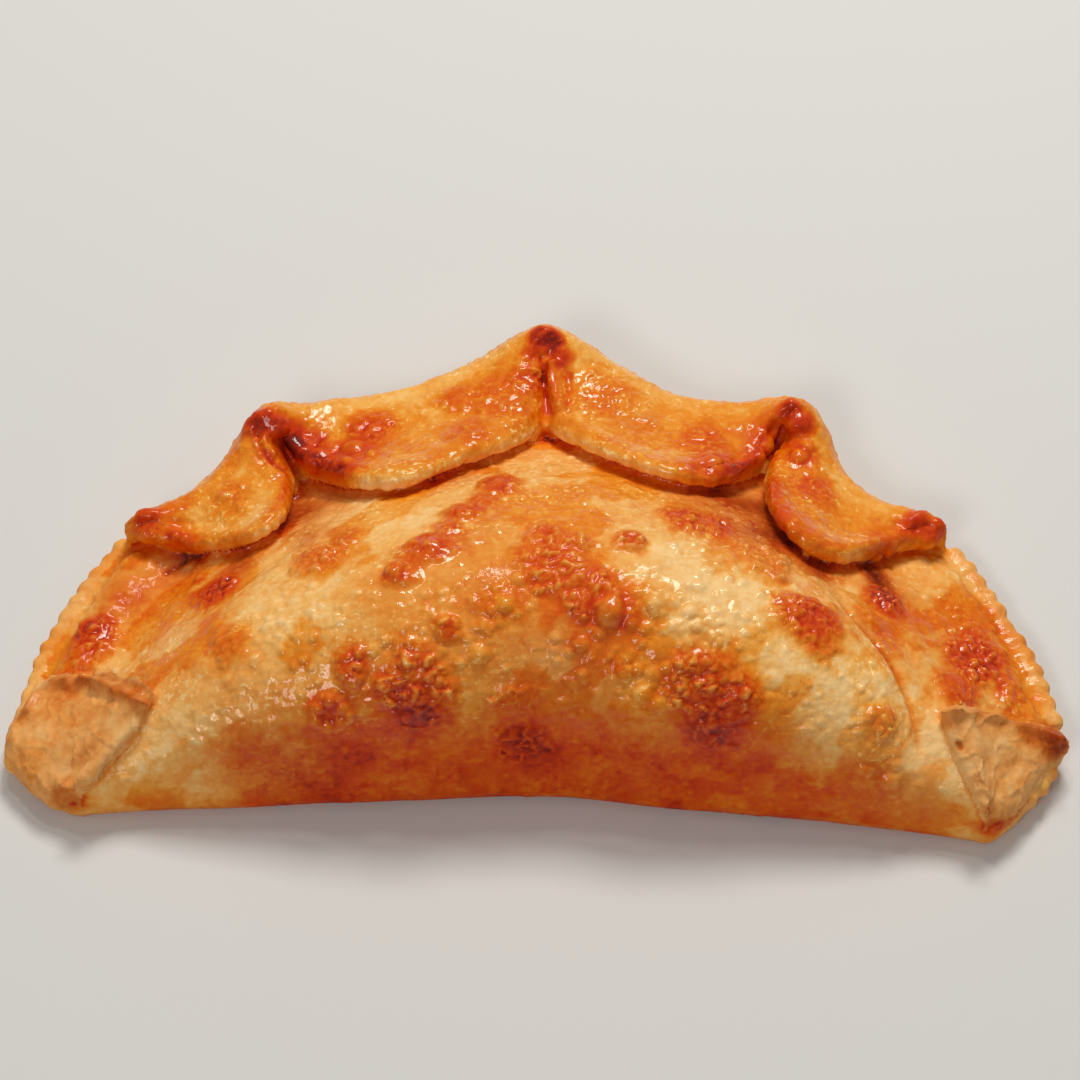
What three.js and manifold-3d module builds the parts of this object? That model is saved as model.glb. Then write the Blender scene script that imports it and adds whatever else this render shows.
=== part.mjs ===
// A baked half-moon empanada, in millimetres, +Z up, resting on its flat underside.
// The straight fold faces -Y. The sealed rim runs round the back and is folded up and over on to the top in
// four lobes that meet at raised, pinched tips. The two corners are folded in as flat flaps with a ragged
// upper edge, and between corner and lobe the fluted cut edge of the dough shows as a thin lip.
// The crust is one solid: filled body, folded rim, tip knobs, corner flaps, fluted lips and the blisters of
// the browned patches, all joined into a single closed mesh whose origin is the middle of its underside.
import * as THREE from "three";
import { mergeVertices } from "three/addons/utils/BufferGeometryUtils.js";
import Module from "manifold-3d";

const wasm = await Module();
wasm.setup();

// ---- driving dimensions, mm ----
const FILLED_HEIGHT = 34; // crown of the filled part above the table
const FILLED_HALF_LENGTH = 83; // along X, where the filling tapers out
const FILLED_DEPTH = 80; // front fold to the back of the filling
const FILLED_REACH = 87; // half-width of the arch that bounds the filling
const ARCH_FULLNESS = 1.8; // 2 is an ellipse, less is more pointed
const LENGTH_FULLNESS = 2.2; // how long the height is held along X before it tapers
const LENGTH_TAPER = 0.8; // how blunt that taper ends
const CROWN_AT = 0.32; // share of the depth at which the crown lies
const FRONT_FULLNESS = 2.2; // roundness of the steep front
const BACK_FALL = 0.95; // share of the height lost from the crown to the back
const BACK_FULLNESS = 1.35; // how late that fall starts
const DOUGH_SLAB = 8.5; // two sealed sheets of dough outside the filling
const SLAB_BLEND = 7; // height over which the filling runs out into the slab
const WAIST = 3.2; // height at which the outline is widest
const UNDER_ROUND = 3.6; // how far in the underside turns up to the waist
const EDGE_ROUND = 6.5; // how far in the top turns down to the waist
const FLAP_THICKNESS = 5.2; // folded-over rim, at its free edge
const RIDGE_HEIGHT = 16; // top of the folded rim between the tips
const RIDGE_FALL = 2; // how much lower the ridge is at the ends of the rim
const RIDGE_ROUND = 6.5; // depth of the rounded outer fold
const EDGE_LIFT = 4.7; // a lobe's free edge above the body's top
const TIP_RISE = 6; // how much higher the pinched tips stand
const TIP_WIDTH = 0.2; // reach of a tip along the rim, in lobes
const TROUGH = 1.3; // how far a lobe's face sags between its ridge and its free edge
const EDGE_ROLL = 0.7; // how far the roll along a free edge stands up
const ROLL_AT = 0.85; // share of the face's width at which that roll lies
const ROLL_WIDTH = 0.15; // its half-width, as a share of the face's
const UNDER_LEVEL = 1.2; // how near the table folded dough comes under its free edge
const ROUND_STEPS = 4; // facets round a fold or a free edge
const FACE_STEPS = 5; // facets over the face between them
const SEAM_DEPTH = 4.6; // groove where two lobes meet
const SEAM_WIDTH = 0.07; // half-width of that groove, in lobes
const RIM_END_ROUND = 5; // length over which the two ends of the rim round off
const RIM_END_SIZE = 0.35; // what is left of the section at the very ends
const KNOB = [5.2, 4.8, 3.4]; // half-sizes of the baked knob on a tip
const CORNER_RIDGE = 9.5; // height of the fold at a corner
const CORNER_FALL = 3; // how much lower that fold is at the front corner
const CORNER_THICKNESS = 4.4; // free edge of a corner flap
const CORNER_LIFT = 3.3; // its top above the body's
const CORNER_SINK = 0.04; // share of the body's height by which the flap presses in
const CORNER_TROUGH = 0.4; // sag of its face
const CORNER_ROLL = 0.5; // roll along its inner edge
const CORNER_RAGGED = 0.9; // depth of the ragged cut along a corner flap
const LIP_THICKNESS = 4.2; // fluted cut edge
const LIP_LEVEL = 3.9; // height of the lip's middle
const LIP_FLUTE = 0.8; // depth of one flute
const LIP_REACH = 6; // how far the lip reaches in under the body
const FLUTE_PITCH = 2.9; // distance between flutes
const BLISTER_RADIUS = [1.6, 2.8]; // smallest and largest blister
const BLISTER_RISE = 0.45; // a blister's height as a share of its radius
const BLISTER_LENGTH = 0.85; // a blister's width as a share of its length
const BLISTER_AREA = 36; // browned area that one blister takes, mm2
const BLISTER_SPREAD = 0.85; // share of a patch's radius that the blisters cover

// ---- plan of the dough: points in X, Y seen from above ----
const FRONT_FOLD = [
  [-79, -4.8],
  [-55, -4],
  [-20, -2.6],
  [0, -1.9],
  [21, -4.3],
  [48, -6.9],
  [73.4, -10.4],
];
// the body's own edge, from the left corner round the back to the right corner
const BACK_EDGE = [
  [-79, -4.8],
  [-85.4, -1],
  [-88.4, 6.4],
  [-86.8, 17],
  [-83.6, 27],
  [-79, 37],
  [-74, 46],
  [-66, 51],
  [-56, 60],
  [-45, 69],
  [-30, 73],
  [-14, 78.5],
  [0, 83],
  [14, 77.5],
  [30, 71],
  [44, 68],
  [53, 56.5],
  [61, 50],
  [70, 45],
  [74.8, 36.5],
  [79, 27],
  [82, 17],
  [84.2, 7],
  [80.4, -4],
  [73.4, -10.4],
];
// the folded rim's outer line: six steps a lobe, with a tip at every sixth point
const RIM_OUTER = [
  [-74.6, 47.6],
  [-70.6, 51.6],
  [-64.2, 55.2],
  [-61, 58.6],
  [-58.2, 62.4],
  [-55.2, 67.4],
  [-50.8, 71.2],
  [-45, 73.2],
  [-35, 76],
  [-25, 78.2],
  [-15, 82.8],
  [-7.2, 87.2],
  [0.2, 89],
  [7.8, 86.6],
  [15.2, 81.6],
  [24, 76.5],
  [33, 74.8],
  [41, 74.4],
  [46.8, 72],
  [50.6, 67.4],
  [52.8, 61],
  [56.3, 56.2],
  [60.6, 53.4],
  [65.4, 51.4],
  [70.8, 47],
];
const LOBE_EDGES = [
  [
    [-72.4, 45.4],
    [-66.6, 43.8],
    [-57.5, 40.8],
    [-51.4, 39.2],
    [-46.7, 41.2],
    [-44.4, 47.6],
    [-44.1, 59.3],
  ],
  [
    [-44.1, 59.3],
    [-40.4, 56],
    [-32.8, 49.6],
    [-24.5, 47.4],
    [-16, 52.4],
    [-6.6, 58.2],
    [-0.3, 66.1],
  ],
  [
    [-0.3, 66.1],
    [3, 61.2],
    [9.9, 54.7],
    [17.6, 50.1],
    [25.3, 48.6],
    [33.6, 53.6],
    [39.3, 62.4],
  ],
  [
    [39.3, 62.4],
    [37.4, 52.6],
    [38.3, 42.6],
    [42.6, 36],
    [50.5, 35.2],
    [59.8, 41.4],
    [68.4, 44.8],
  ],
];
const TIP_KNOBS = [
  [-69, 46.4, 11],
  [-48.8, 64.8, 17.2],
  [0.1, 82.2, 17.6],
  [44.4, 65.6, 17.2],
  [65.6, 45.4, 11],
];
// the corner flaps, from the front corner to the ragged edge: the outer fold and the inner edge
const LEFT_CORNER = {
  outer: [
    [-77.6, -5.4],
    [-84, -4],
    [-88.2, -0.6],
    [-91.6, 5],
    [-90.6, 11],
    [-87.4, 17.2],
  ],
  inner: [
    [-76.8, -4.4],
    [-74.6, -3],
    [-72.2, -0.4],
    [-69.4, 2],
    [-66.4, 4.6],
    [-64.4, 7.4],
  ],
};
const RIGHT_CORNER = {
  outer: [
    [72.2, -11],
    [76.8, -9],
    [80.6, -5],
    [84.6, 0.6],
    [87.4, 6.4],
    [86.6, 10],
  ],
  inner: [
    [71.6, -9.6],
    [70.6, -8],
    [69, -5],
    [67, -1.8],
    [65.2, 2.2],
    [63.9, 6.2],
  ],
};
// the fluted lips: the outer edge, and the side of it on which the body lies
const LIPS = [
  {
    points: [
      [-75.4, 49.2],
      [-80, 41.2],
      [-84.2, 33.5],
      [-87.4, 25.3],
      [-89.5, 16.4],
      [-90.9, 9.4],
    ],
    side: 1,
  },
  {
    points: [
      [72, 47.8],
      [76.1, 40.8],
      [79.9, 32.9],
      [83.3, 24.3],
      [85.6, 16.2],
      [86.9, 10.6],
    ],
    side: -1,
  },
  {
    points: [
      [87.6, 5.6],
      [86.4, 1],
      [83.8, -2.8],
      [80.8, -6.2],
    ],
    side: -1,
  },
];
// soft valleys where the filling ends and the sheets are sealed
const VALLEYS = [
  {
    points: [
      [46, 35],
      [54, 24],
      [60.5, 12],
      [61, 1],
    ],
    depth: 1.9,
    width: 4.4,
  },
  {
    points: [
      [-64, 38],
      [-70, 28],
      [-72, 20],
    ],
    depth: 1.4,
    width: 4.4,
  },
];
// browned patches: middle and radius
const BROWNED = [
  [-57, 32, 3.6],
  [-38, 30, 6.5],
  [-9, 45, 3.6],
  [-13, 38, 3],
  [-20, 29, 4.7],
  [-25, 22, 3],
  [-1, 31, 4],
  [2, 22, 4.7],
  [10, 16, 5],
  [14, 31, 3],
  [26, 38, 5.8],
  [43, 18, 5.4],
  [57, 27, 3.2],
  [71, 20, 6.1],
  [-77, 27, 3.6],
  [-17, 13, 3],
  [-8, 17, 4],
  [-36, 3, 3.2],
  [-22, 5, 6.5],
  [-4, 1, 4.7],
  [27, 2, 6.5],
  [54, 2, 3],
];

const DOUGH = new THREE.MeshStandardMaterial({ color: 0xd08a3c, roughness: 0.45, metalness: 0 });

// ---- curves and solids ----
function spline(points) {
  return new THREE.SplineCurve(points.map(([x, y]) => new THREE.Vector2(x, y)));
}

// Smooth stretches joined at sharp turns; t runs over all the stretches alike.
function chain(lists) {
  const curves = lists.map(spline);
  return (t) => {
    const part = Math.min(Math.floor(t * curves.length), curves.length - 1);
    return curves[part].getPoint(t * curves.length - part);
  };
}

function smoothMax(a, b, blend) {
  const d = Math.max(blend - Math.abs(a - b), 0) / blend;
  return Math.max(a, b) + (d * d * blend) / 4;
}

function quarterRound(share) {
  const s = THREE.MathUtils.clamp(share, 0, 1);
  return Math.sqrt(1 - (1 - s) ** 2);
}

function bell(x) {
  return Math.exp(-x * x);
}

// A closed mesh from a ring grid: rows of points that close on themselves, with both end rows filled in.
function ringSolid(rows) {
  const n = rows[0].length;
  const position = rows.flat(2);
  const index = [];
  for (let i = 0; i + 1 < rows.length; i++)
    for (let j = 0; j < n; j++) {
      const k = (j + 1) % n;
      const [a, b, c, d] = [i * n + j, i * n + k, (i + 1) * n + k, (i + 1) * n + j];
      index.push(a, b, c, a, c, d);
    }
  closeRing(position, index, 0, n, true);
  closeRing(position, index, (rows.length - 1) * n, n, false);
  return solidFrom(position, index);
}

// Fills the ring of n points that starts at first with a fan round its middle.
function closeRing(position, index, first, n, flip) {
  const middle = new THREE.Vector3();
  for (let j = 0; j < n; j++)
    middle.add(new THREE.Vector3().fromArray(position, (first + j) * 3).divideScalar(n));
  const centre = position.length / 3;
  position.push(middle.x, middle.y, middle.z);
  for (let j = 0; j < n; j++) {
    const pair = [first + j, first + ((j + 1) % n)];
    index.push(...(flip ? pair.reverse() : pair), centre);
  }
}

// Six times the volume that the triangles enclose, negative where they face inwards.
function signedVolume(position, index) {
  let sum = 0;
  for (let i = 0; i < index.length; i += 3) {
    const [a, b, c] = [0, 1, 2].map((k) => new THREE.Vector3().fromArray(position, index[i + k] * 3));
    sum += a.dot(b.cross(c));
  }
  return sum;
}

function solidFrom(position, index) {
  const geometry = new THREE.BufferGeometry();
  geometry.setAttribute("position", new THREE.Float32BufferAttribute(position, 3));
  geometry.setIndex(signedVolume(position, index) < 0 ? index.slice().reverse() : index);
  return manifoldOf(geometry);
}

function manifoldOf(geometry) {
  const bare = geometry.clone();
  bare.deleteAttribute("normal");
  bare.deleteAttribute("uv");
  const merged = mergeVertices(bare, 1e-4);
  return new wasm.Manifold(
    new wasm.Mesh({
      numProp: 3,
      vertProperties: new Float32Array(merged.attributes.position.array),
      triVerts: new Uint32Array(merged.index.array),
    }),
  );
}

// A rounded lump of dough, tilted to lie along the surface whose normal is given.
function lump([x, y, z], halfSizes, normal, sides, rings) {
  const geometry = new THREE.SphereGeometry(1, sides, rings);
  geometry.rotateX(Math.PI / 2);
  geometry.scale(...halfSizes);
  geometry.applyQuaternion(new THREE.Quaternion().setFromUnitVectors(new THREE.Vector3(0, 0, 1), normal));
  geometry.translate(x, y, z);
  return manifoldOf(geometry);
}

// ---- the filled body ----
const frontFold = spline(FRONT_FOLD);

function frontY(x) {
  let i = 1;
  while (i < FRONT_FOLD.length - 1 && x > FRONT_FOLD[i][0]) i++;
  const [[x0, y0], [x1, y1]] = [FRONT_FOLD[i - 1], FRONT_FOLD[i]];
  return y0 + ((y1 - y0) * (x - x0)) / (x1 - x0);
}

function distanceToPath(x, y, points) {
  let best = Infinity;
  for (let i = 1; i < points.length; i++) {
    const [[ax, ay], [bx, by]] = [points[i - 1], points[i]];
    const [dx, dy] = [bx - ax, by - ay];
    const along = THREE.MathUtils.clamp(((x - ax) * dx + (y - ay) * dy) / (dx * dx + dy * dy), 0, 1);
    best = Math.min(best, Math.hypot(x - ax - along * dx, y - ay - along * dy));
  }
  return best;
}

// Height of the body's top over a point of the plan, before its edge is rounded off: a steep rounded front,
// a crown at CROWN_AT, and a longer fall to the back, all lower towards the corners.
function bodyTop(x, y) {
  const across = Math.min(Math.abs(x) / FILLED_HALF_LENGTH, 1);
  const crown = FILLED_HEIGHT * (1 - across ** LENGTH_FULLNESS) ** LENGTH_TAPER;
  const front = frontY(x);
  const archX = Math.min(Math.abs(x) / FILLED_REACH, 1);
  const arch = FILLED_DEPTH * (1 - archX ** ARCH_FULLNESS) ** (1 / ARCH_FULLNESS);
  const depth = Math.max((y - front) / Math.max(arch - front, 1), 0);
  const share =
    depth < CROWN_AT
      ? (1 - (1 - depth / CROWN_AT) ** FRONT_FULLNESS) ** (1 / FRONT_FULLNESS)
      : 1 - BACK_FALL * Math.min((depth - CROWN_AT) / (1 - CROWN_AT), 1) ** BACK_FULLNESS;
  const dip = VALLEYS.reduce((sum, v) => sum + v.depth * bell(distanceToPath(x, y, v.points) / v.width), 0);
  return smoothMax(DOUGH_SLAB, crown * share, SLAB_BLEND) - dip;
}

function bodyNormal(x, y) {
  const step = 0.5;
  const slopeX = (bodyTop(x + step, y) - bodyTop(x - step, y)) / (2 * step);
  const slopeY = (bodyTop(x, y + step) - bodyTop(x, y - step)) / (2 * step);
  return new THREE.Vector3(-slopeX, -slopeY, 1).normalize();
}

// Columns run from the front fold to the back edge; each is a closed loop, over the top and back underneath.
function filledBody(columns = 52, topRows = 18, underRows = 6) {
  const back = spline(BACK_EDGE);
  const rows = [];
  for (let i = 1; i < columns; i++) {
    const a = frontFold.getPointAt(i / columns);
    const b = back.getPointAt(i / columns);
    const length = a.distanceTo(b);
    const at = (j, steps) => {
      const share = (1 - Math.cos((Math.PI * j) / steps)) / 2;
      const { x, y } = a.clone().lerp(b, share);
      return { x, y, inside: length * Math.min(share, 1 - share) };
    };
    const loop = [];
    for (let j = 0; j <= topRows; j++) {
      const { x, y, inside } = at(j, topRows);
      loop.push([x, y, WAIST + (bodyTop(x, y) - WAIST) * quarterRound(inside / EDGE_ROUND)]);
    }
    for (let j = underRows - 1; j > 0; j--) {
      const { x, y, inside } = at(j, underRows);
      loop.push([x, y, WAIST * (1 - quarterRound(inside / UNDER_ROUND))]);
    }
    rows.push(loop);
  }
  return ringSolid(rows);
}

// ---- folded dough ----
// A section from the outer fold to the free edge: a round back, a face that sags and then rises into a roll,
// a round free edge, and a flat underside. end, from 0 to 1, closes the section towards its middle.
function foldSection(outer, inner, { ridge, edgeTop, thickness, trough, roll, end = 1 }) {
  const length = outer.distanceTo(inner);
  const fold = Math.min(RIDGE_ROUND, 0.45 * length);
  const nose = Math.min(thickness / 2, 0.3 * length);
  const profile = [];
  for (let k = 0; k <= ROUND_STEPS; k++) {
    const angle = -Math.PI / 2 + (Math.PI * (k + 0.6)) / (ROUND_STEPS + 0.6);
    profile.push([fold * (1 - Math.cos(angle)), (ridge / 2) * (1 + Math.sin(angle))]);
  }
  for (let k = 1; k <= FACE_STEPS; k++) {
    const share = k / FACE_STEPS;
    const run = fold + (length - nose - fold) * share;
    const sag = trough * Math.sin(Math.PI * share) ** 2;
    const rolled = roll * bell((share - ROLL_AT) / ROLL_WIDTH);
    profile.push([run, ridge + (edgeTop - ridge) * share - sag + rolled]);
  }
  for (let k = 1; k <= ROUND_STEPS; k++) {
    const angle = (Math.PI * k) / ROUND_STEPS;
    profile.push([length - nose + nose * Math.sin(angle), edgeTop - nose + nose * Math.cos(angle)]);
  }
  profile.push([length - nose - Math.min(nose, 0.3 * length), UNDER_LEVEL]);
  const [ux, uy] = [(inner.x - outer.x) / length, (inner.y - outer.y) / length];
  return profile.map(([run, z]) => {
    const r = length / 2 + (run - length / 2) * end;
    return [outer.x + ux * r, outer.y + uy * r, ridge / 2 + (z - ridge / 2) * end];
  });
}

function foldedRim(stationsPerLobe = 15) {
  const outer = spline(RIM_OUTER);
  const inner = chain(LOBE_EDGES);
  const lobes = LOBE_EDGES.length;
  const count = stationsPerLobe * lobes;
  const length = outer.getLength();
  const rows = [];
  for (let i = 0; i <= count; i++) {
    const at = i / count;
    const tipNumber = Math.round(at * lobes);
    const fromTip = at * lobes - tipNumber;
    const isSeam = tipNumber > 0 && tipNumber < lobes;
    const edge = inner(at);
    const rise = isSeam ? TIP_RISE * bell(fromTip / TIP_WIDTH) : 0;
    const dip = isSeam ? SEAM_DEPTH * bell(fromTip / SEAM_WIDTH) : 0;
    const endRound = quarterRound((length * Math.min(at, 1 - at)) / RIM_END_ROUND);
    const section = {
      ridge: RIDGE_HEIGHT - RIDGE_FALL * Math.abs(2 * at - 1) + rise,
      edgeTop: bodyTop(edge.x, edge.y) + EDGE_LIFT - dip,
      thickness: FLAP_THICKNESS,
      trough: TROUGH,
      roll: EDGE_ROLL,
      end: THREE.MathUtils.lerp(RIM_END_SIZE, 1, endRound),
    };
    rows.push(foldSection(outer.getPoint(at), edge, section));
  }
  return ringSolid(rows);
}

// The last station is the ragged cut edge: its points step in and out along the flap.
function cornerFlap({ outer, inner }, stations = 12) {
  const [fold, edge] = [spline(outer), spline(inner)];
  const rows = [];
  for (let i = 0; i <= stations; i++) {
    const at = i / stations;
    const p = edge.getPoint(at);
    const section = {
      ridge: CORNER_RIDGE - CORNER_FALL * (1 - at) ** 2,
      edgeTop: bodyTop(p.x, p.y) * (1 - CORNER_SINK) + CORNER_LIFT,
      thickness: CORNER_THICKNESS,
      trough: CORNER_TROUGH,
      roll: CORNER_ROLL,
    };
    rows.push(foldSection(fold.getPoint(at), p, section));
  }
  const along = edge.getTangent(1);
  const cut = rows[rows.length - 1];
  const turn = 2.4; // radians from one point of the cut to the next
  cut.forEach((point, k) => {
    const step = CORNER_RAGGED * Math.sin(turn * k);
    point[0] += along.x * step;
    point[1] += along.y * step;
  });
  return ringSolid(rows);
}

// A thin lip whose outer edge is fluted by the cutter.
function flutedLip({ points, side }) {
  const path = spline(points);
  const flutes = Math.round(path.getLength() / FLUTE_PITCH);
  const stations = flutes * 3;
  const rows = [];
  for (let i = 0; i <= stations; i++) {
    const at = i / stations;
    const p = path.getPointAt(at);
    const along = path.getTangentAt(at);
    const [nx, ny] = [-along.y * side, along.x * side];
    const back = LIP_FLUTE * (1 - Math.abs(Math.sin(Math.PI * flutes * at)));
    const half = LIP_THICKNESS / 2 - back * 0.5;
    const section = [
      [LIP_REACH, half * 0.9],
      [back + 1.4, half],
      [back, half * 0.3],
      [back, -half * 0.3],
      [back + 1.4, -half],
      [LIP_REACH, -half * 0.9],
    ];
    rows.push(section.map(([run, z]) => [p.x + nx * run, p.y + ny * run, LIP_LEVEL + z]));
  }
  return ringSolid(rows);
}

// ---- knobs and blisters ----
function tipKnobs() {
  const up = new THREE.Vector3(0, 0, 1);
  return TIP_KNOBS.map((place) => lump(place, KNOB, up, 10, 6));
}

// Blisters spread over each browned patch by the golden angle, with seeded sizes.
function blisters(seed = 7) {
  THREE.MathUtils.seededRandom(seed);
  const goldenAngle = Math.PI * (3 - Math.sqrt(5));
  const lumps = [];
  for (const [x, y, reach] of BROWNED) {
    const count = Math.max(1, Math.round((Math.PI * reach * reach) / BLISTER_AREA));
    for (let i = 0; i < count; i++) {
      const away = reach * BLISTER_SPREAD * Math.sqrt(i / count);
      const [bx, by] = [x + away * Math.cos(i * goldenAngle), y + away * Math.sin(i * goldenAngle)];
      const radius = THREE.MathUtils.lerp(...BLISTER_RADIUS, THREE.MathUtils.seededRandom());
      const halfSizes = [radius, radius * BLISTER_LENGTH, radius * BLISTER_RISE];
      lumps.push(lump([bx, by, bodyTop(bx, by)], halfSizes, bodyNormal(bx, by), 7, 4));
    }
  }
  return lumps;
}

// The outer skin alone: pockets shut in between the joined pieces are filled.
function withoutVoids(solid) {
  return solid.decompose().reduce((best, part) => (part.volume() > best.volume() ? part : best));
}

function crustGeometry() {
  const pieces = [
    filledBody(),
    foldedRim(),
    ...tipKnobs(),
    cornerFlap(LEFT_CORNER),
    cornerFlap(RIGHT_CORNER),
    ...LIPS.map(flutedLip),
    ...blisters(),
  ];
  const joined = withoutVoids(pieces.reduce((crust, piece) => crust.add(piece))).getMesh();
  const geometry = new THREE.BufferGeometry();
  geometry.setAttribute("position", new THREE.BufferAttribute(joined.vertProperties, 3));
  geometry.setIndex(new THREE.BufferAttribute(joined.triVerts, 1));
  geometry.computeBoundingBox();
  const middle = geometry.boundingBox.getCenter(new THREE.Vector3());
  geometry.translate(-middle.x, -middle.y, 0);
  geometry.computeVertexNormals();
  return geometry;
}

const empanada = new THREE.Group();
const crust = new THREE.Mesh(crustGeometry(), DOUGH);
crust.name = "crust";
empanada.add(crust);

export default empanada;
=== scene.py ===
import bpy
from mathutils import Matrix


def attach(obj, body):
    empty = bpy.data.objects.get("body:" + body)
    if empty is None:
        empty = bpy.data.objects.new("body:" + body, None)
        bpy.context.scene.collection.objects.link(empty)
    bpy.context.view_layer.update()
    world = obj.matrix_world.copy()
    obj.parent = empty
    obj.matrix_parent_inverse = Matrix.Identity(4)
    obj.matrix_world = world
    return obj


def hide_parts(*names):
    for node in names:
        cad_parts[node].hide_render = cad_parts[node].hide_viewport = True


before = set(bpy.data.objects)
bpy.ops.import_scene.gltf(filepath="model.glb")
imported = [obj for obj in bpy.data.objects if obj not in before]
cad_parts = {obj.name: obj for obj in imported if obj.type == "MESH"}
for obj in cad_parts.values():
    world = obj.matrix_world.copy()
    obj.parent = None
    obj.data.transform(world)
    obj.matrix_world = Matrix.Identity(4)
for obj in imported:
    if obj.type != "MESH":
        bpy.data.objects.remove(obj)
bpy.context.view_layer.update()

# The looks of an oven-baked empanada: a domed half-moon with its rim folded over in four lobes, pinched into
# caramelised tips, with folded-in matt corners and a fluted lip. Lengths are in millimetres until a mesh or
# an object is made, and the plan is the one that the folded dough was laid out on; PLAN_MIDDLE moves it to
# the frame. Browned spots, creases and rolls are placed where the camera sees them on the crust.

import logging
import math
from dataclasses import dataclass, field
from enum import Enum

import bmesh
import bpy
import numpy as np
from mathutils import Vector
from mathutils.bvhtree import BVHTree
from mathutils.kdtree import KDTree

log = logging.getLogger("empanada")

MM = 0.001
IMAGE_SIDE = 1080
PLAN_MIDDLE = np.array([-2.104, 38.939, 0.0])
VOXEL = 0.41  # the side of the cells that the skin is drawn with
SKIN_RELAXED = 3  # rounds of smoothing over the fresh skin
UNDERSIDE_LEVEL = 1.1  # below it every point counts as the body's
UNDERSIDE_SLOPE = -0.2  # a face that turns down further than this belongs to the underside
FLAT_LEVEL = 0.12  # a face that lies lower than this is made flat
FLAP_LEVEL = 3.0  # above it a flap owns what lies inside its outline
EDGE_FLUTES = 54  # flutes on the free edges of the four lobes
LINE_STEPS = 60  # pixels looked through along a crease or roll
GRAIN_ROUNDS = 9  # rounds of smoothing that part the fine relief from the broad one
RELIEF_ROOM = 0.25  # how far the surface is drawn in to make room for its relief
BUBBLE_RISE = 0.42  # a blister's height as a share of its radius

STREAK_ANGLE = math.radians(52.0)
STREAK_TURN = np.array(
    [
        (math.cos(STREAK_ANGLE), -math.sin(STREAK_ANGLE), 0.0),
        (math.sin(STREAK_ANGLE), math.cos(STREAK_ANGLE), 0.0),
        (0.0, 0.0, 1.0),
    ]
)

Pixel = tuple[float, float]
Plan = tuple[tuple[float, float], ...]
Colour = tuple[int, int, int]
Stops = tuple[tuple[float, Colour], ...]
Socket = bpy.types.NodeSocket


# ---------------------------------------------------------------- small mathematics


def smooth_step(low: float, high: float, x: np.ndarray) -> np.ndarray:
    """Rises smoothly from 0 at low to 1 at high; low may be the larger one."""
    share = np.clip((np.asarray(x, float) - low) / (high - low), 0.0, 1.0)
    return share * share * (3.0 - 2.0 * share)


def bell(x: np.ndarray) -> np.ndarray:
    """A rounded hump of height 1 at 0, nearly gone at 2."""
    return np.exp(-np.square(x))


def quarter_round(share: np.ndarray) -> np.ndarray:
    """The height of a quarter circle over its base, from 0 to 1."""
    return np.sqrt(1.0 - np.square(1.0 - np.clip(share, 0.0, 1.0)))


def catmull_rom(points: np.ndarray | Plan, t: np.ndarray) -> np.ndarray:
    """Points of a smooth curve through control points.

    Args:
        points: The control points, one row each.
        t: Places on the curve, from 0 to 1, evenly spaced over the control points.

    Returns:
        One row for each place.
    """
    p = np.asarray(points, float)
    last = len(p) - 1
    s = np.clip(t, 0.0, 1.0) * last
    i = np.minimum(s.astype(int), last - 1)
    w = (s - i)[:, None]
    p0, p1, p2, p3 = p[np.maximum(i - 1, 0)], p[i], p[i + 1], p[np.minimum(i + 2, last)]
    v1, v2 = (p2 - p0) / 2, (p3 - p1) / 2
    return (2 * p1 - 2 * p2 + v1 + v2) * w**3 + (3 * p2 - 3 * p1 - 2 * v1 - v2) * w**2 + v1 * w + p1


def even_curve(points: np.ndarray | Plan, share: np.ndarray) -> np.ndarray:
    """As catmull_rom, with the places given as shares of the curve's length.

    Args:
        points: The control points.
        share: The shares, from 0 to 1.

    Returns:
        One row for each share.
    """
    t = np.linspace(0.0, 1.0, 4001)
    run = catmull_rom(points, t)
    length = np.concatenate([[0.0], np.cumsum(np.linalg.norm(np.diff(run, axis=0), axis=1))])
    return catmull_rom(points, np.interp(share, length / length[-1], t))


def lattice_hash(cell: np.ndarray, seed: int) -> np.ndarray:
    """A repeatable random number from 0 to 1 for each integer cell, one row each.

    Args:
        cell: Whole numbers, three in a row.
        seed: Picks the numbers.

    Returns:
        One number for each row.
    """
    c = cell.astype(np.int64).astype(np.uint64)
    h = c[..., 0] * np.uint64(374761393) + c[..., 1] * np.uint64(668265263)
    h = h + c[..., 2] * np.uint64(2246822519) + np.uint64(seed * 3266489917 % 2**32)
    h = (h ^ (h >> np.uint64(15))) * np.uint64(2654435761)
    h = (h ^ (h >> np.uint64(13))) * np.uint64(1274126177)
    return ((h ^ (h >> np.uint64(16))) & np.uint64(0xFFFFFF)).astype(float) / float(0xFFFFFF)


def value_noise(place: np.ndarray, size: float, seed: int) -> np.ndarray:
    """Smooth noise from -1 to 1 whose features are about size wide.

    Args:
        place: Positions, one row each.
        size: The width of a feature.
        seed: Picks the noise.

    Returns:
        One value for each position.
    """
    p = place / size
    base = np.floor(p)
    w = p - base
    w = w * w * (3.0 - 2.0 * w)
    total = np.zeros(len(p))
    for dx in (0, 1):
        for dy in (0, 1):
            for dz in (0, 1):
                corner = lattice_hash(base + (dx, dy, dz), seed)
                share = [w[:, k] if d else 1.0 - w[:, k] for k, d in enumerate((dx, dy, dz))]
                total += corner * share[0] * share[1] * share[2]
    return 2.0 * total - 1.0


def layered_noise(place: np.ndarray, size: float, seed: int, layers: int = 3) -> np.ndarray:
    """Value noise with finer layers added, each half as wide and half as strong."""
    parts = [value_noise(place, size / 2**k, seed + 31 * k) / 2**k for k in range(layers)]
    return sum(parts) / sum(1.0 / 2**k for k in range(layers))


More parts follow.
